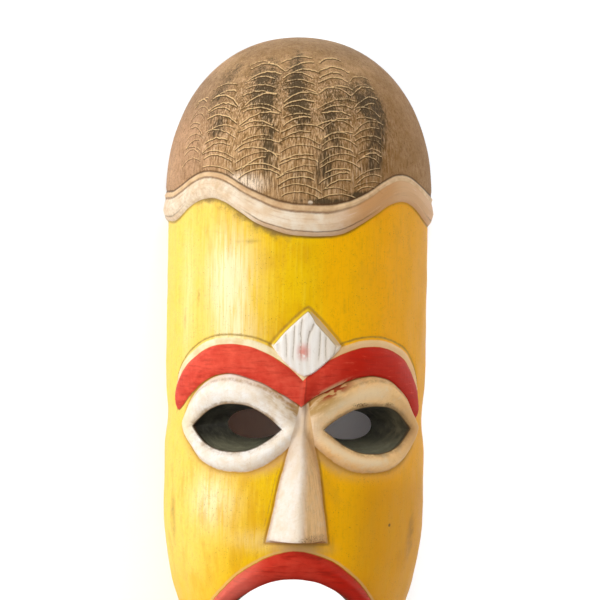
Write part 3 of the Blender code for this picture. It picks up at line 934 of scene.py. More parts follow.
def build_mask():
    """The face, the hollow, the walls of the openings between them, and the flat rim."""
    face, f, face_faces, face_rings = face_skin()
    back, back_faces, back_rings = hollow_skin()
    places = [face, back]
    faces = [face_faces, back_faces[:, ::-1] + len(face)]
    kinds = [np.full(len(face_faces), PAINT), np.full(len(back_faces), WOOD)]
    depth_in = [np.zeros(len(face)), np.ones(len(back))]
    total = len(face) + len(back)
    walls = zip(FRONT_LOOPS, face_rings[1:], back_rings[1:], (SOCKET, SOCKET, MOUTH))
    for loop, front, behind, kind in walls:
        bare = block(loop[:, 0] / FACE_HALF_WIDTH, loop[:, 1])
        ids = [front]
        for k, ring in enumerate(wall_rings(face[front], back[behind], bare)):
            ids.append(total + np.arange(len(ring)))
            places.append(ring)
            depth_in.append(np.full(len(ring), 0.12 + 0.8 * k / WALL_RINGS))
            total += len(ring)
        ids.append(behind + len(face))
        for low, high in zip(ids[:-1], ids[1:]):
            low_next, high_next = np.roll(low, -1), np.roll(high, -1)
            faces.append(np.stack((low, low_next, high_next), -1))
            faces.append(np.stack((low, high_next, high), -1))
            kinds.append(np.full(len(low) * 2, kind))
    border, inner = face_rings[0], back_rings[0] + len(face)
    flat = np.vstack(places)[:, :2]

    def on_rim(middles):
        return (reach(middles, flat[inner]) < 0) & (reach(middles, flat[border]) > 0)

    _, rim_faces, rim_rings = triangulate([flat[border], flat[inner]], [], on_rim)
    number = np.zeros(rim_faces.max() + 1, dtype=int)
    number[rim_rings[0]] = border
    number[rim_rings[1]] = inner
    faces.append(number[rim_faces][:, ::-1])
    kinds.append(np.full(len(rim_faces), WOOD))
    return np.vstack(places), np.vstack(faces), np.concatenate(kinds), np.concatenate(depth_in), f


def spots(s, y, marks):
    """A soft sum of (s, y, half width, half height, strength) blots."""
    return sum(
        strength * np.exp(-(((s - mid_s) / wide) ** 2) - ((y - mid_y) / high) ** 2)
        for mid_s, mid_y, wide, high, strength in marks
    )


def make_mesh(name):
    places, faces, kinds, depth_in, f = build_mask()
    low, high = np.array(cad_box) * MILLIMETRES
    places = np.clip(places, low, high) / MILLIMETRES
    mesh = bpy.data.meshes.new(name)
    mesh.from_pydata(places.tolist(), [], faces.tolist())
    bm = bmesh.new()
    bm.from_mesh(mesh)
    bmesh.ops.recalc_face_normals(bm, faces=bm.faces)
    bm.to_mesh(mesh)
    bm.free()
    mesh.polygons.foreach_set("material_index", kinds.astype(np.int32))
    mesh.polygons.foreach_set("use_smooth", np.ones(len(faces), dtype=bool))
    mesh.set_sharp_from_angle(angle=math.radians(SHARP_ANGLE))
    rest = len(places) - len(f.s)

    def store(label, beyond, *columns):
        """Three values for each point; points behind the face take the value beyond."""
        values = np.stack([np.concatenate((column, np.full(rest, beyond))) for column in columns], -1)
        layer = mesh.attributes.new(label, "FLOAT_VECTOR", "POINT")
        layer.data.foreach_set("vector", values.astype(np.float32).ravel())

    store("laid", 0, f.s, f.y, f.lift)
    store("upper", -9, f.band.clip(-20, 40), f.dip, f.leaf.clip(-8, 30))
    store("brows", -6, f.brow.clip(-6, 12), f.bead.clip(-6, 6), f.brow_off.clip(-4, 4))
    store("eyes", -8, f.rim.clip(-8, 30), f.eye.clip(0, 40), f.rim_share)
    store("lower", -8, f.nose.clip(-8, 20), f.lip.clip(-8, 30), f.mouth.clip(0, 30))
    store("strokes", 0, f.ridge, f.furrow, f.flute.clip(-8, 8))
    store("wear_and_sheen", 0, *(spots(f.s, f.y, marks) for marks in (STAINS, SHEEN_AND_WEAR, GRIME)))
    layer = mesh.attributes.new("inwards", "FLOAT", "POINT")
    layer.data.foreach_set("value", depth_in.astype(np.float32))
    return mesh


# Materials, written as arithmetic on node sockets

def srgb(text):
    values = [int(text[i:i + 2], 16) / 255 for i in (0, 2, 4)]
    return tuple(v / 12.92 if v <= 0.04045 else ((v + 0.055) / 1.055) ** 2.4 for v in values) + (1.0,)


def joined(operation, turned=False):
    """A method that joins a wire to another value, the other value first if turned."""
    def method(wire, other=0.0):
        ends = (other, wire) if turned else (wire, other)
        return wire.look.math(operation, *ends)
    return method


class Wire:
    """A number, place or colour that varies over the surface."""

    __add__ = __radd__ = joined("ADD")
    __mul__ = __rmul__ = joined("MULTIPLY")
    __sub__ = joined("SUBTRACT")
    __rsub__ = joined("SUBTRACT", turned=True)
    __abs__ = joined("ABSOLUTE")
    least = joined("MINIMUM")

    def __init__(self, look, socket):
        self.look = look
        self.socket = socket

    def ramp(self, low, high):
        """0 at low and 1 at high, with soft ends."""
        return self.look.node("MapRange", {0: self, 1: low, 2: high}, interpolation_type="SMOOTHSTEP")

    def line(self, middle, half):
        """1 at a middle value, fading to 0 at half a width to either side."""
        return abs(self - middle).ramp(half, 0.0)


class Look:
    """A material with a Principled shader and the nodes that feed it."""

    def __init__(self, name, **fixed):
        self.material = bpy.data.materials.new(name)
        self.material.use_nodes = True
        self.tree = self.material.node_tree
        self.shader = self.tree.nodes["Principled BSDF"]
        for socket, value in fixed.items():
            self.shader.inputs[socket.replace("_", " ")].default_value = value

    def feed(self, socket, value):
        if isinstance(value, Wire):
            self.tree.links.new(value.socket, socket)
        else:
            socket.default_value = srgb(value) if isinstance(value, str) else value

    def node(self, kind, inputs, output=0, **settings):
        """A new node's output. The inputs are given by their places or names."""
        node = self.tree.nodes.new("ShaderNode" + kind)
        for name, value in settings.items():
            setattr(node, name, value)
        for socket, value in inputs.items():
            self.feed(node.inputs[socket], value)
        return Wire(self, node.outputs[output])

    def math(self, operation, a, b=0.0):
        return self.node("Math", {0: a, 1: b}, operation=operation)

    def attribute(self, name, output="Vector"):
        return self.node("Attribute", {}, output, attribute_name=name)

    def split(self, vector):
        node = self.node("SeparateXYZ", {0: vector}).socket.node
        return [Wire(self, socket) for socket in node.outputs]

    def three(self, name):
        return self.split(self.attribute(name))

    def place(self):
        """The place on the object in millimetres."""
        return self.scaled(self.node("TexCoord", {}, "Object"), (MILLIMETRES,) * 3)

    def join(self, x, y, z=0.0):
        return self.node("CombineXYZ", {0: x, 1: y, 2: z})

    def scaled(self, vector, by):
        return self.node("VectorMath", {0: vector, 1: by}, operation="MULTIPLY")

    def noise(self, vector, size, detail=3.0, roughness=0.55, by=None):
        """Noise from 0 to 1 with forms of about the size given, in millimetres."""
        vector = self.scaled(vector, by) if by else vector
        inputs = {"Vector": vector, "Scale": 1.0 / size, "Detail": detail, "Roughness": roughness}
        return self.node("TexNoise", inputs, "Fac")

    def mix(self, share, a, b, blend_type="MIX"):
        return self.node("Mix", {0: share, 6: a, 7: b}, 2, data_type="RGBA", blend_type=blend_type)

    def coat(self, colour, *layers):
        """A colour with others laid over it in turn: a share, its colour, a share, its colour."""
        for share, over in zip(layers[::2], layers[1::2]):
            colour = self.mix(share, colour, over)
        return colour

    def finish(self, colour, roughness, height, distance, strength=0.9):
        """Feeds the shader. The bump has a height from 0 to 1 over a distance in metres."""
        inputs = {"Strength": strength, "Distance": distance, "Height": height}
        self.feed(self.shader.inputs["Base Color"], colour)
        self.feed(self.shader.inputs["Roughness"], roughness)
        self.feed(self.shader.inputs["Normal"], self.node("Bump", inputs, "Normal"))
        return self.material


def painted_face():
    """All the paint. Places are in millimetres, and distances are positive inside a form."""
    look = Look("painted_face", Specular_IOR_Level=0.17, Specular_Tint=(1.0, 0.84, 0.4, 1.0))
    coat, noise = look.coat, look.noise
    laid = look.attribute("laid")
    s, y, _ = look.split(laid)
    band, dip, leaf = look.three("upper")
    brow, bead, brow_off = look.three("brows")
    rim, eye, rim_share = look.three("eyes")
    nose, lip, mouth = look.three("lower")
    ridge, furrow, flute = look.three("strokes")
    stain, sheen_wear, grime = look.three("wear_and_sheen")

    place = look.place()
    x, _, _ = look.split(place)
    grain = noise(place, 1.5, 4, 0.6, (1, 0.045, 1))
    fibre = noise(place, 0.6, 2, 0.6, (1, 0.035, 1))
    blotch = noise(place, 22, 3, 0.5)
    cloud = noise(place, 7, 4, 0.6)
    mottle = noise(place, 2.2, 4, 0.65)
    grit = noise(place, 0.7, 2, 0.6)
    wobble = (noise(place, 3.0, 2) - 0.5) * 1.5
    axis = s - y * LEAN + (LEAN_PIVOT_Y * LEAN - FEATURE_SHIFT)
    # shaded: the share of painted shade, rising from the middle of the face to its right side
    shaded = (axis + wobble * 2).ramp(-8, 16)

    # The yellow ground: paler on the left and deeper golden and darker to the right, partly its own tone
    # and partly painted light and shade, with painted glare and sheen, pale wear and dirt in places
    # Lighter brush streaks on the lit left side, as painted light; then a painted glare on the left and
    # painted sheen, with pale wear
    fresh = 1 - x.ramp(0, 26) * 0.85
    glare_sheen_and_wear = x.ramp(-30, -66) * (0.05 + cloud * 0.22) + sheen_wear * (0.3 + grain * 1.1).ramp(0.45, 1.0)
    patch = noise(place, 9, 3, 0.6, (1, 0.35, 1))
    dirt = grime * (0.25 + cloud) + mottle.ramp(0.6, 0.8) * 0.2
    worn_cheek = sheen_wear * y.ramp(-40, -60)
    speck = grit.ramp(0.62, 0.72) * (cloud.ramp(0.4, 0.6) + worn_cheek * 0.7).least(1)
    knot = (s + wobble * 0.3).line(62, 1.2) * (y + wobble * 0.3).line(-87.3, 1.2)
    scratch = noise(look.join(s + y * 0.35, y - s * 0.2), 0.9, 2, 0.5, (1, 0.07, 0))
    yellow = coat(
        "f2c500",
        blotch.ramp(0.35, 0.7), "e6b100",
        # Painted light and shade: paler on the left, deeper golden to the right, darker at the right edge
        # and on the right cheek
        x.ramp(-22, -56), "f9cb2e",
        x.ramp(4, 24), "ffbb00",
        x.ramp(26, 56), "fbad00",
        x.ramp(50, 78) * 0.4, "c98c14",
        x.ramp(18, 50) * y.ramp(-46, -74) * 0.6, "c88600",
        # Light brush streaks, mostly on the lit left side as painted light
        grain.ramp(0.45, 0.8) * fresh * 0.4, "fde23a",
        fibre.ramp(0.5, 0.85) * 0.4, "c98f00",
        mottle.ramp(0.5, 0.72) * 0.3, "cf9204",
        # Painted glare and sheen, with pale wear
        glare_sheen_and_wear.least(0.9), "fdf2c4",
        patch.ramp(0.48, 0.68) * y.ramp(-40, -62) * 0.4, "d89a1e",
        patch.ramp(0.5, 0.7) * y.ramp(30, 66) * 0.25, "d89a1e",
        dirt.ramp(0.25, 1.0) * 0.65, "8a5a1c",
        worn_cheek * mottle.ramp(0.5, 0.7) * 0.35, "c9924a",
        speck * 0.7, "6b4212",
        knot.ramp(0.0, 0.4) * 0.8, "4a3008",
        y.ramp(-105, -140) * x.ramp(20, 0) * 0.6, "f2b800",
        scratch.ramp(0.7, 0.78) * cloud.ramp(0.5, 0.65) * 0.6, "9a6a14",
    )

    # Cream; tan, the cream darkened as painted shade for the right side; and red, painted darker to the
    # right as painted shade
    brushed = noise(look.join(s + y * 0.5, y - s * 0.5), 1.5, 3, 0.65, (0.18, 1, 0))
    strokes = noise(laid, 2.0, 3, 0.6, (0.16, 1, 0))
    cream = coat(
        "f7f1ea",
        cloud.ramp(0.3, 0.7), "eedfcb",
        grain.ramp(0.5, 0.85) * 0.35, "dcbc98",
        mottle.ramp(0.55, 0.8) * 0.35, "d0ab82",
        brushed.ramp(0.5, 0.75) * 0.2, "cfae8a",
        grit.ramp(0.66, 0.76) * 0.5, "8d6b49",
    )
    tan = coat(
        look.mix(1.0, cream, "ffd79c", "MULTIPLY"),
        cloud.ramp(0.48, 0.68) * 0.45, "f0d9b2",
        brushed.ramp(0.45, 0.25) * 0.3, "bb8c5a",
    )
    red = coat(
        "e4523f",
        cloud.ramp(0.3, 0.7), "d33d2e",
        # Painted shade: darker red to the right
        (axis + wobble * 3).ramp(2, 30), "bf1c0e",
        strokes.ramp(0.45, 0.8) * 0.6, "9c1a15",
        strokes.ramp(0.42, 0.2) * 0.5, "ee6a52",
        mottle.ramp(0.62, 0.8) * 0.35, "e8624a",
    )

    # Brown wear and dirt on the ground along the edges of the forms, with painted shade below the eye
    # rims next to the nose
    brown = 0.55 + cloud * 0.6
    # Painted shade below the eye rims where they meet the nose, over tan wear below the rims
    inner_end = abs(axis).ramp(36, 14) * y.ramp(-36, -44)
    wear_and_shade_below_rim = (rim + wobble * 1.5).ramp(-8.5, -0.5) * (0.35 + inner_end * 0.75) * (0.5 + mottle)
    edge = (rim + wobble).line(-0.6, 2.8) * 0.45 + (rim + wobble * 0.8).line(-0.4, 1.2) * 0.3
    between = brow_off.line(-1.15, 0.5) * (brow + 6).ramp(0, 4)
    under_nose = (axis + wobble * 3).line(1, 27) * (y + wobble).line(-100.5, 5.5)
    incised = (nose + wobble * 0.4).line(-2.8, 0.6) * y.ramp(-48, -60) * y.ramp(-95, -86)
    ground = coat(
        yellow,
        wear_and_shade_below_rim.least(0.9) * y.ramp(-28, -36), "d3a45e",
        (edge * brown).least(0.85), "a3722f",
        between * abs(axis).ramp(52, 36), "b98a55",
        ((nose + wobble * 0.4).line(-0.6, 1.4) * brown * 0.8).least(1), "94602a",
        (leaf + wobble * 0.5).line(-0.7, 1.5) * (0.25 + cloud * 0.7), "a07736",
        (lip + wobble * 0.4).line(-0.9, 1.3) * 0.75, "dfb878",
        (lip + wobble * 0.4).line(0.0, 0.5) * 0.7, "8a4a22",
        (under_nose * brown * 1.1).least(0.85), "cda772",
        incised * axis.ramp(0, -3) * mottle.ramp(0.35, 0.6) * 0.6, "b98a30",
        (bead + wobble * 0.4).line(-0.4, 1.1) * (0.3 + mottle * 0.9), "9a7836",
    )

    # The beads over the brows, tan on the right as painted shade
    bead_on = (bead + wobble * 0.35).ramp(-0.25, 0.3) * (brow + wobble * 0.3).ramp(-4.3, -3.4)
    bead_colour = coat(
        "f6e9c2",
        cloud.ramp(0.35, 0.65), "ead2a0",
        shaded * 0.85, "f0c088",
        mottle.ramp(0.55, 0.75) * 0.25, "c49f66",
    )

    # The eye rims: tan on the right and under the brows as painted shade, with a painted highlight along
    # the right rim's crest
    # Painted highlight along the crest of the right rim
    rim_crest_highlight = rim_share.line(0.55, 0.4) * axis.ramp(4, 16) * s.ramp(62, 46)
    # Painted shade, in streaks, under the brows towards the nose
    inner = abs(axis).ramp(34, 8) * brow_off.ramp(-3.0, -1.2)
    along_brow = noise(look.join(s * 0.16, brow_off * 3.2), 2.4, 3, 0.65)
    handled = (cloud * 0.6 + mottle * 0.4 + shaded * 0.1).ramp(0.38, 0.66)
    lip_edge = (eye + wobble * 0.6).ramp(2.2, 1.0) * y.ramp(-30, -24) * (0.2 + mottle)
    over_eye = s.line(39, 9) * (y + wobble).line(-16.8, 1.9)
    over_eye = over_eye + s.line(59, 5) * (y + wobble).line(-16.6, 1.6) * 0.7
    crease = (rim_share + wobble * 0.03).line(0.17, 0.1) * (brow + 6).ramp(0.4, 3.5)
    rim_colour = coat(
        cream,
        # Painted shade: the right rim turns tan
        shaded, tan,
        rim_crest_highlight * (0.35 + cloud * 0.5), "f7e2be",
        # Painted shade at the right rim's outer end
        s.ramp(56, 84) * 0.8, "cf9d63",
        s.ramp(-60, -76) * 0.6, "ecd08c",
        # Browner towards the rim's outer edge, more so on the right as painted shade
        (rim_share + mottle * 0.4).ramp(0.5, 0.0) * (0.3 + shaded * 0.35), "b58658",
        (inner * (0.3 + along_brow.ramp(0.35, 0.6) * 1.1)).least(0.9), "b28c52",
        (eye + wobble).ramp(3.4, 0.0) * handled * 0.7, "84603c",
        (eye + wobble * 0.3).ramp(0.8, 0.1) * 0.85, "4a3524",
        (lip_edge * 0.8).least(0.8), "9a7a55",
        (over_eye * (0.15 + grit.ramp(0.4, 0.6))).least(0.75), "4e3a24",
        crease * mottle.ramp(0.3, 0.6) * 0.6, "a3784b",
    )

    # The nose: its right plane in painted shade and its underside in painted shadow
    bridge = abs(axis).ramp(15, 6) * y.ramp(-52, -40)
    tip = (y + wobble * 1.5).ramp(-91.5, -97.2) * 0.3
    tip = tip + grime.ramp(0.1, 0.9) * y.ramp(-86, -91) * 0.45
    dots = grit.ramp(0.54, 0.64) * grime.ramp(0.15, 0.6) * y.ramp(-88, -91)
    shaded_nose = coat(
        tan,
        0.3, "c69a6c",
        grain.ramp(0.45, 0.65) * 0.3, "a87a50",
        fibre.ramp(0.5, 0.7) * 0.35, "e8c79c",
    )
    nose_colour = coat(
        cream,
        0.25, "cdb498",
        # Painted shade on the nose's right plane
        (axis + wobble * 0.8).ramp(-1.5, 4.5), shaded_nose,
        y.ramp(-62, -30) * 0.45, "c7a37b",
        (nose.ramp(2.5, 0) * mottle).least(0.6) * (1 - bridge), "b5855a",
        tip * (0.35 + mottle * 0.9), "8d6038",
        dots * 0.75, "5a371c",
        # Painted shadow on the underside of the tip
        (y + wobble * 0.2).ramp(-96.9, -97.4) * 0.85, "8f6845",
    )

    # The brows, with a crease where they meet, painted shade on the right brow beside it and a painted
    # highlight on the left, and flakes off their lower edges
    below = (brow_off + wobble * 0.03).line(-1.0, 0.12) * brow.ramp(-1.5, -0.3)
    vee = abs(axis + wobble * 0.6).ramp(2.6, 0.4) * (y + wobble).ramp(-25, -17) * y.ramp(-10, -14)
    chips = axis.line(16, 15) * 1.6 * brow_off.line(-1.15, 0.55) * along_brow.ramp(0.46, 0.52)
    on_brow = (brow + wobble * 0.45).ramp(-0.2, 0.35)
    # Painted shade on the right brow just beside where the brows meet
    shade_beside_meeting = axis.ramp(-0.2, 0.9) * axis.ramp(11, 3) * y.ramp(6, 0)
    low_brow = y.ramp(4, -2)
    brow_red = coat(
        red,
        shade_beside_meeting * 0.65, "a81d12",
        (axis + wobble * 0.5).line(0.2, 0.9) * low_brow * 0.6, "7a140d",
        # A painted highlight on the left brow beside where the brows meet
        (axis + wobble * 1.2).line(-2.2, 1.8) * low_brow * 0.14, "f4836c",
    )

    # The leaf: white flutes within a bevelled border, with a pink stain, painted shade in the flutes'
    # hollows and tan on its right side as painted shade
    over_waist = y.ramp(15, 18)
    flute_place = abs(look.math("FRACT", flute + (mottle - 0.5) * 0.22) - 0.5)
    facet = 1.7 + (axis + wobble).ramp(0.0, 4.0) * 1.7
    flute_line = flute_place.ramp(0.15, 0.0) * (leaf - over_waist * facet).ramp(0.2, 1.4)
    flute_line = flute_line * (y + wobble * 3).ramp(6.5, 12) * (axis + wobble * 2).ramp(-15, -10)
    bevel = (leaf - facet + wobble * 0.35).ramp(0.3, -0.3)
    pink = s.line(4.5, 5.5) * y.line(13.0, 7.0) * (mottle + 0.1).ramp(0.42, 0.6)
    leaf_rim = coat(
        "e9c62e",
        (axis + wobble).ramp(0.0, 2.0), "d8b98c",
        (leaf - facet + wobble * 0.2).line(0, 0.8) * (0.35 + cloud * 0.6), "8d7245",
    )
    leaf_colour = coat(
        "fbf6f0",
        # Painted shade in the hollows of the flutes
        flute_place.ramp(0.5, 0.1) * 0.3, "dccbb8",
        flute_line * (0.2 + mottle * 0.9), "8b7a66",
        mottle.ramp(0.6, 0.8) * 0.4, "9b8a78",
        # Painted shade: tan towards the right side
        axis.ramp(2, 20) * 0.45, "e0c8a6",
        bevel * over_waist, leaf_rim,
        pink * 0.8, "e07a6a",
    )

    # The lips, paler on the left as a painted highlight
    lip_red = coat(
        red,
        0.55, "b3150a",
        strokes.ramp(0.5, 0.7) * 0.35, "6e0f0a",
        # Painted highlight: paler pink on the left
        (axis + wobble * 3).ramp(-14, -34) * 0.35, "f08a7a",
        mouth.ramp(3.0, 0.0) * 0.6, "7c1d18",
    )

    # The waved band and its bead, tan on the right as painted shade, with a painted shadow under the
    # band, dirt below it, and dirt with painted shade along its lower edge on the left
    along = noise(look.join(s, band), 1.3, 4, 0.65, (0.07, 1, 0))
    broken = 0.45 + mottle * 0.9
    low = (band + wobble * 0.2).ramp(3.1, 2.5) * dip.ramp(0.35, 0.8)
    low_line = (band + wobble * 0.4).line(2.9, 0.8) * dip.ramp(0.2, 0.7)
    groove = (band + wobble * 0.5).line(14.1, 1.3) * s.ramp(60, 10)
    bead_tan = coat(
        "ebcaa0",
        cloud.ramp(0.3, 0.7), "d3ab80",
        along.ramp(0.5, 0.8) * 0.4, "a87e5b",
    )
    band_colour = coat(
        "f3e3cd",
        cloud.ramp(0.3, 0.7), "e5c8a6",
        # Painted shade: tan to the right
        s.ramp(10, 40), "cf9a66",
        s.ramp(54, 66) * 0.6, "dfb48a",
        along.ramp(0.5, 0.75) * 0.55, "b98f6c",
        along.ramp(0.4, 0.25) * 0.4, "fbefdf",
        s.ramp(-20, -50) * mottle.ramp(0.35, 0.65) * 0.5, "c9ab86",
        low * 0.6, "c39a74",
        (low_line * broken * 0.8).least(0.8), "6b4a2f",
        (band + wobble * 0.3).ramp(13.9, 14.8), bead_tan,
        (groove * broken * 0.9).least(0.8), "7a5436",
    )
    # Painted shadow under the band's lower edge, deepest in the dip
    shadow_under_band = (band + wobble * 0.3).line(-0.5, 1.7) * (0.35 + dip * 0.6) * brown
    # Dirt and painted shade along the band's lower edge on the left
    dirt_and_shade_below_band = (band + wobble * 2.5).ramp(-4.0, -0.6) * (s.ramp(-70, -60) * s.ramp(-2, -16))
    smudge = (band + wobble * 1.5).ramp(-9, -1.5) * (s.ramp(-68, -50) * s.ramp(6, -16))

    # The cap, its stains, the stamped arcs with a painted shadow under each, painted sheen, and darker to
    # the right partly as painted shade
    upper_left = (x + wobble * 4).ramp(-24, -50) * y.ramp(138, 160) * y.ramp(182, 170)
    comb = noise(place, 0.75, 2, 0.5, (1, 0.09, 1))
    middle = (s.line(-2, 110) * y.line(138, 62)).ramp(0.15, 0.55)
    pores = noise(place, 1.3, 3, 0.7, (1, 0.25, 1))
    smear = noise(place, 4.5, 4, 0.65, (1, 0.22, 1))
    dark = (stain * (smear * 2.2 - 0.35) * (comb * 1.8 + 0.1)).ramp(0.12, 0.8)
    stroke = ridge * (noise(laid, 1.6, 3, 0.7) * 2.4 - 0.3)
    cap = coat(
        "cfa578",
        cloud.ramp(0.3, 0.7), "ad8557",
        (x + wobble * 4).ramp(-36, -66) * 0.6, "bb8f72",
        upper_left * 0.45, "6f5a44",
        blotch.ramp(0.42, 0.7) * 0.35, "83603c",
        mottle.ramp(0.5, 0.25) * 0.4, "dcb27e",
        # Painted sheen on the cap, with pale wear
        (sheen_wear * (0.4 + mottle)).ramp(0.1, 0.8), "f3dcc2",
        comb.ramp(0.47, 0.6) * middle * (0.25 + cloud * 0.75), "664524",
        comb.ramp(0.45, 0.3) * middle * 0.65, "ecceaa",
        mottle.ramp(0.5, 0.72) * 0.45, "7d5c38",
        grit.ramp(0.56, 0.68) * 0.5, "55402a",
        pores.ramp(0.56, 0.68) * 0.55, "5c4326",
        pores.ramp(0.42, 0.3) * 0.4, "e6bd8c",
        # Darker and more golden to the right, partly painted shade
        x.ramp(16, 56) * 0.55, "7c4f1c",
        (y + wobble * 3).ramp(176, 190) * 0.4, "75522c",
        dark * 0.85, "3a3125",
        # Painted shadow in the furrow under each arc
        (furrow * (0.55 + mottle * 0.8)).ramp(0.1, 0.6) * 0.75, "412c1a",
        stroke.ramp(0.22, 0.75) * 0.9, "f0cb94",
        (s.line(7.0, 2.2) * y.line(98.6, 2.0)).ramp(0.15, 0.5), "ddc9b0",
    )

    colour = coat(
        ground,
        bead_on, bead_colour,
        (rim + wobble * 0.5).ramp(-0.35, 0.45), rim_colour,
        (nose + wobble * 0.3).ramp(-0.3, 0.35), nose_colour,
        below * 0.8, "6f3f1e",
        vee * 0.75, "6b4424",
        on_brow, brow_red,
        (chips * 0.9).least(0.9), look.mix(on_brow, "96251a", "e2c193"),
        (leaf + wobble * 0.25).ramp(0.1, 0.6), leaf_colour,
        (lip + wobble * 0.4).ramp(-0.1, 0.4), lip_red,
        shadow_under_band, "5a4020",
        (dirt_and_shade_below_band * (0.3 + mottle) * 0.8).least(0.8), "84693c",
        smudge * cloud.ramp(0.42, 0.66) * 0.7, "866a3c",
        (band + wobble * 0.15).ramp(-0.15, 0.2), band_colour,
        (band + wobble * 0.2).ramp(18.1, 18.6), cap,
        ((band + wobble * 0.3).line(18.5, 1.3) * broken).least(0.85), "553a26",
    )
    on_cap = band.ramp(18, 19)
    roughness = 0.4 + grain * 0.12 + mottle * 0.1 + on_cap * 0.12
    height = fibre * 0.5 + grain * 0.6 + mottle * 0.35 + comb * middle * 0.6 * on_cap
    return look.finish(colour, roughness, height, 0.00025, 0.85)


def dark_socket():
    look = Look("dark_socket", Specular_IOR_Level=0.3)
    place = look.place()
    inwards = look.attribute("inwards", "Fac")
    x, y, _ = look.split(place)
    cut = look.noise(look.join(x * 0.2, y * 0.2, inwards * 11), 1.8, 4, 0.55)
    cloud = look.noise(place, 5, 4, 0.6)
    # The lower wall of the opening is painted lighter, as painted light falling on it from above, with
    # brush marks
    ledge = (y + cloud * 6).ramp(-32, -42)
    colour = look.coat(
        "25231b",
        cloud.ramp(0.35, 0.65), "38362b",
        x.ramp(46, 66) * (0.25 + cut.ramp(0.35, 0.65) * 0.75), "6a6149",
        # Painted light on the lower wall
        ledge * (0.2 + cut * 0.75), "7f7c63",
        cut.ramp(0.55, 0.75) * 0.2, "77745c",
        (inwards + cut * 0.25).ramp(0.24, 0.06) * 0.85, "5e4329",
    )
    return look.finish(colour, 0.55 + cloud * 0.3, cut + cloud, 0.0006)


def mouth_wall():
    look = Look("mouth_wall", Specular_IOR_Level=0.3)
    place = look.place()
    inwards = look.attribute("inwards", "Fac")
    cut = look.noise(place, 1.6, 4, 0.6, (1, 1, 0.3))
    cloud = look.noise(place, 6, 4, 0.6)
    colour = look.coat(
        "8b5a35",
        cloud.ramp(0.3, 0.7), "6c4226",
        cut.ramp(0.5, 0.8) * 0.5, "b98c5c",
        (inwards + cut * 0.2).ramp(0.3, 0.12) * 0.7, "8e2a1f",
    )
    return look.finish(colour, 0.6 + cloud * 0.25, cut + cloud, 0.0006)


def bare_wood():
    look = Look("bare_wood", Specular_IOR_Level=0.3)
    place = look.place()
    waves = {"Vector": look.scaled(place, (1, 0.05, 1)), "Scale": 0.055, "Distortion": 3.0, "Detail": 3.0}
    rings = look.node("TexWave", waves, "Fac", wave_type="RINGS", rings_direction="Y")
    fibre = look.noise(place, 1.0, 4, 0.6, (1, 0.05, 1))
    pores = look.noise(place, 0.8, 2, 0.6, (1, 0.15, 1))
    colour = look.coat(
        "8c633b",
        rings, "785131",
        fibre.ramp(0.4, 0.8) * 0.5, "5b3a20",
        pores.ramp(0.66, 0.76) * 0.6, "382214",
        look.noise(place, 40, 2).ramp(0.45, 0.7) * 0.3, "a87f54",
    )
    return look.finish(colour, 0.62 + fibre * 0.25, fibre + pores * 0.5 + rings * 0.3, 0.0005)


# The mask

mask = bpy.data.objects.new("carved_mask", make_mesh("carved_mask"))
bpy.context.scene.collection.objects.link(mask)
for material in (painted_face(), dark_socket(), mouth_wall(), bare_wood()):
    mask.data.materials.append(material)
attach(mask, "root")
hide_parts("mask")


# The studio

def floor_material():
    look = Look("pale_floor", Specular_IOR_Level=0.2)
    place = look.place()
    cloud = look.noise(place, 60, 3)
    fine = look.noise(place, 1.5, 2)
    colour = look.mix(cloud, "f6f6f6", "fafafa")
    return look.finish(colour, 0.8 + cloud * 0.1, fine, 0.00005, 0.3)


FLOOR_REACH = 4.0
FLOOR_DROP = 0.0004
floor_mesh = bpy.data.meshes.new("floor")
turns = ((-1, -1), (1, -1), (1, 1), (-1, 1))
floor_mesh.from_pydata([(x * FLOOR_REACH, y * FLOOR_REACH, 0) for x, y in turns], [], [(0, 1, 2, 3)])
floor = bpy.data.objects.new("floor", floor_mesh)
floor.location.z = -FLOOR_DROP
floor_mesh.materials.append(floor_material())
bpy.context.scene.collection.objects.link(floor)


def only(thing):
    """A collection of one object, for lamps that light nothing else."""
    group = bpy.data.collections.new(thing.name + "_only")
    group.objects.link(thing)
    return group


mask_only, floor_only = only(mask), only(floor)
WARM_WHITE = (1.0, 0.99, 0.97)
BLUE_WHITE = (0.86, 0.93, 1.0)

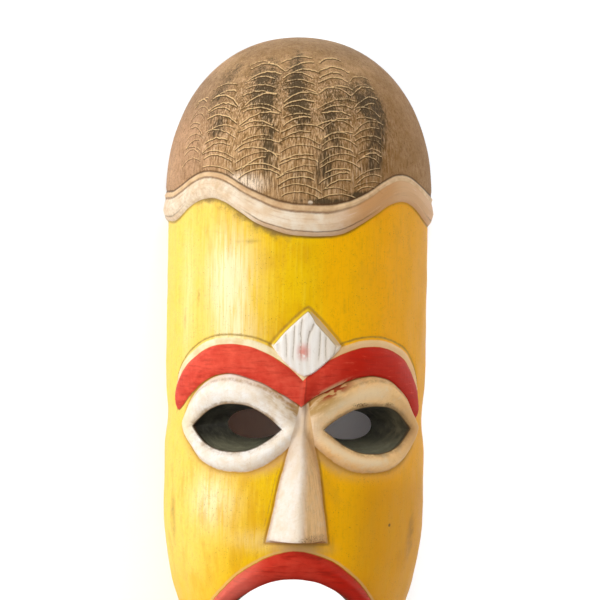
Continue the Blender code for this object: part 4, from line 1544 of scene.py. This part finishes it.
# Each lamp's name, place, aim, size, power, colour and what it lights
for name, place, aim, size, power, colour, lit in (
    ("window", (-1.2, 0.25, 0.95), (0, 0, 0.05), (1.0, 1.3), 14.5, (1.0, 0.99, 0.975), None),
    ("overhead", (-0.5, 0.7, 1.9), (0, 0.05, 0.05), (1.2, 1.2), 10, WARM_WHITE, mask_only),
    ("floor_wash_right", (1.9, 0.1, 0.45), (0, 0.1, 0), (1.2, 0.5), 115, BLUE_WHITE, floor_only),
    ("floor_wash_left", (-1.9, 0.1, 0.45), (0, 0.1, 0), (1.2, 0.5), 52, (0.75, 0.88, 1.0), floor_only),
    ("floor_wash_top", (0.3, 1.9, 0.45), (0, 1.9, 0), (1.2, 0.5), 40, BLUE_WHITE, floor_only),
    ("under_mouth", (0.002, -0.1275, 0.014), (0.002, -0.1275, 0), (0.11, 0.036), 0.02,
        (1.0, 1.0, 1.0), floor_only),
    ("under_right_eye", (0.046, -0.03, 0.012), (0.046, -0.03, 0), (0.05, 0.03), 0.00012,
        (0.5, 0.72, 1.0), floor_only),
    ("under_left_eye", (-0.03, -0.03, 0.012), (-0.03, -0.03, 0), (0.05, 0.03), 0.00012,
        (1.0, 0.22, 0.02), floor_only),
):
    data = bpy.data.lights.new(name, "AREA")
    data.shape = "RECTANGLE"
    data.size, data.size_y = size
    data.energy = power
    data.color = colour
    lamp = bpy.data.objects.new(name, data)
    lamp.location = place
    lamp.rotation_euler = (Vector(aim) - Vector(place)).to_track_quat("-Z", "Y").to_euler()
    lamp.light_linking.receiver_collection = lit
    lamp.visible_camera = lit != floor_only
    bpy.context.scene.collection.objects.link(lamp)

world = bpy.data.worlds.new("studio")
world.use_nodes = True
sky = world.node_tree.nodes["Background"]
sky.inputs["Color"].default_value = (1.0, 0.98, 0.95, 1)
sky.inputs["Strength"].default_value = 0.42
bpy.context.scene.world = world
bpy.context.scene.view_settings.view_transform = "Standard"

camera_data = bpy.data.cameras.new("camera")
camera_data.lens = 180
camera_data.sensor_width = 36
camera_data.clip_end = 20
camera = bpy.data.objects.new("camera", camera_data)
camera.location = (0.0019, 0.0428, 1.8)
camera.rotation_euler = (0, 0, math.radians(1.0))
bpy.context.scene.collection.objects.link(camera)
bpy.context.scene.camera = camera
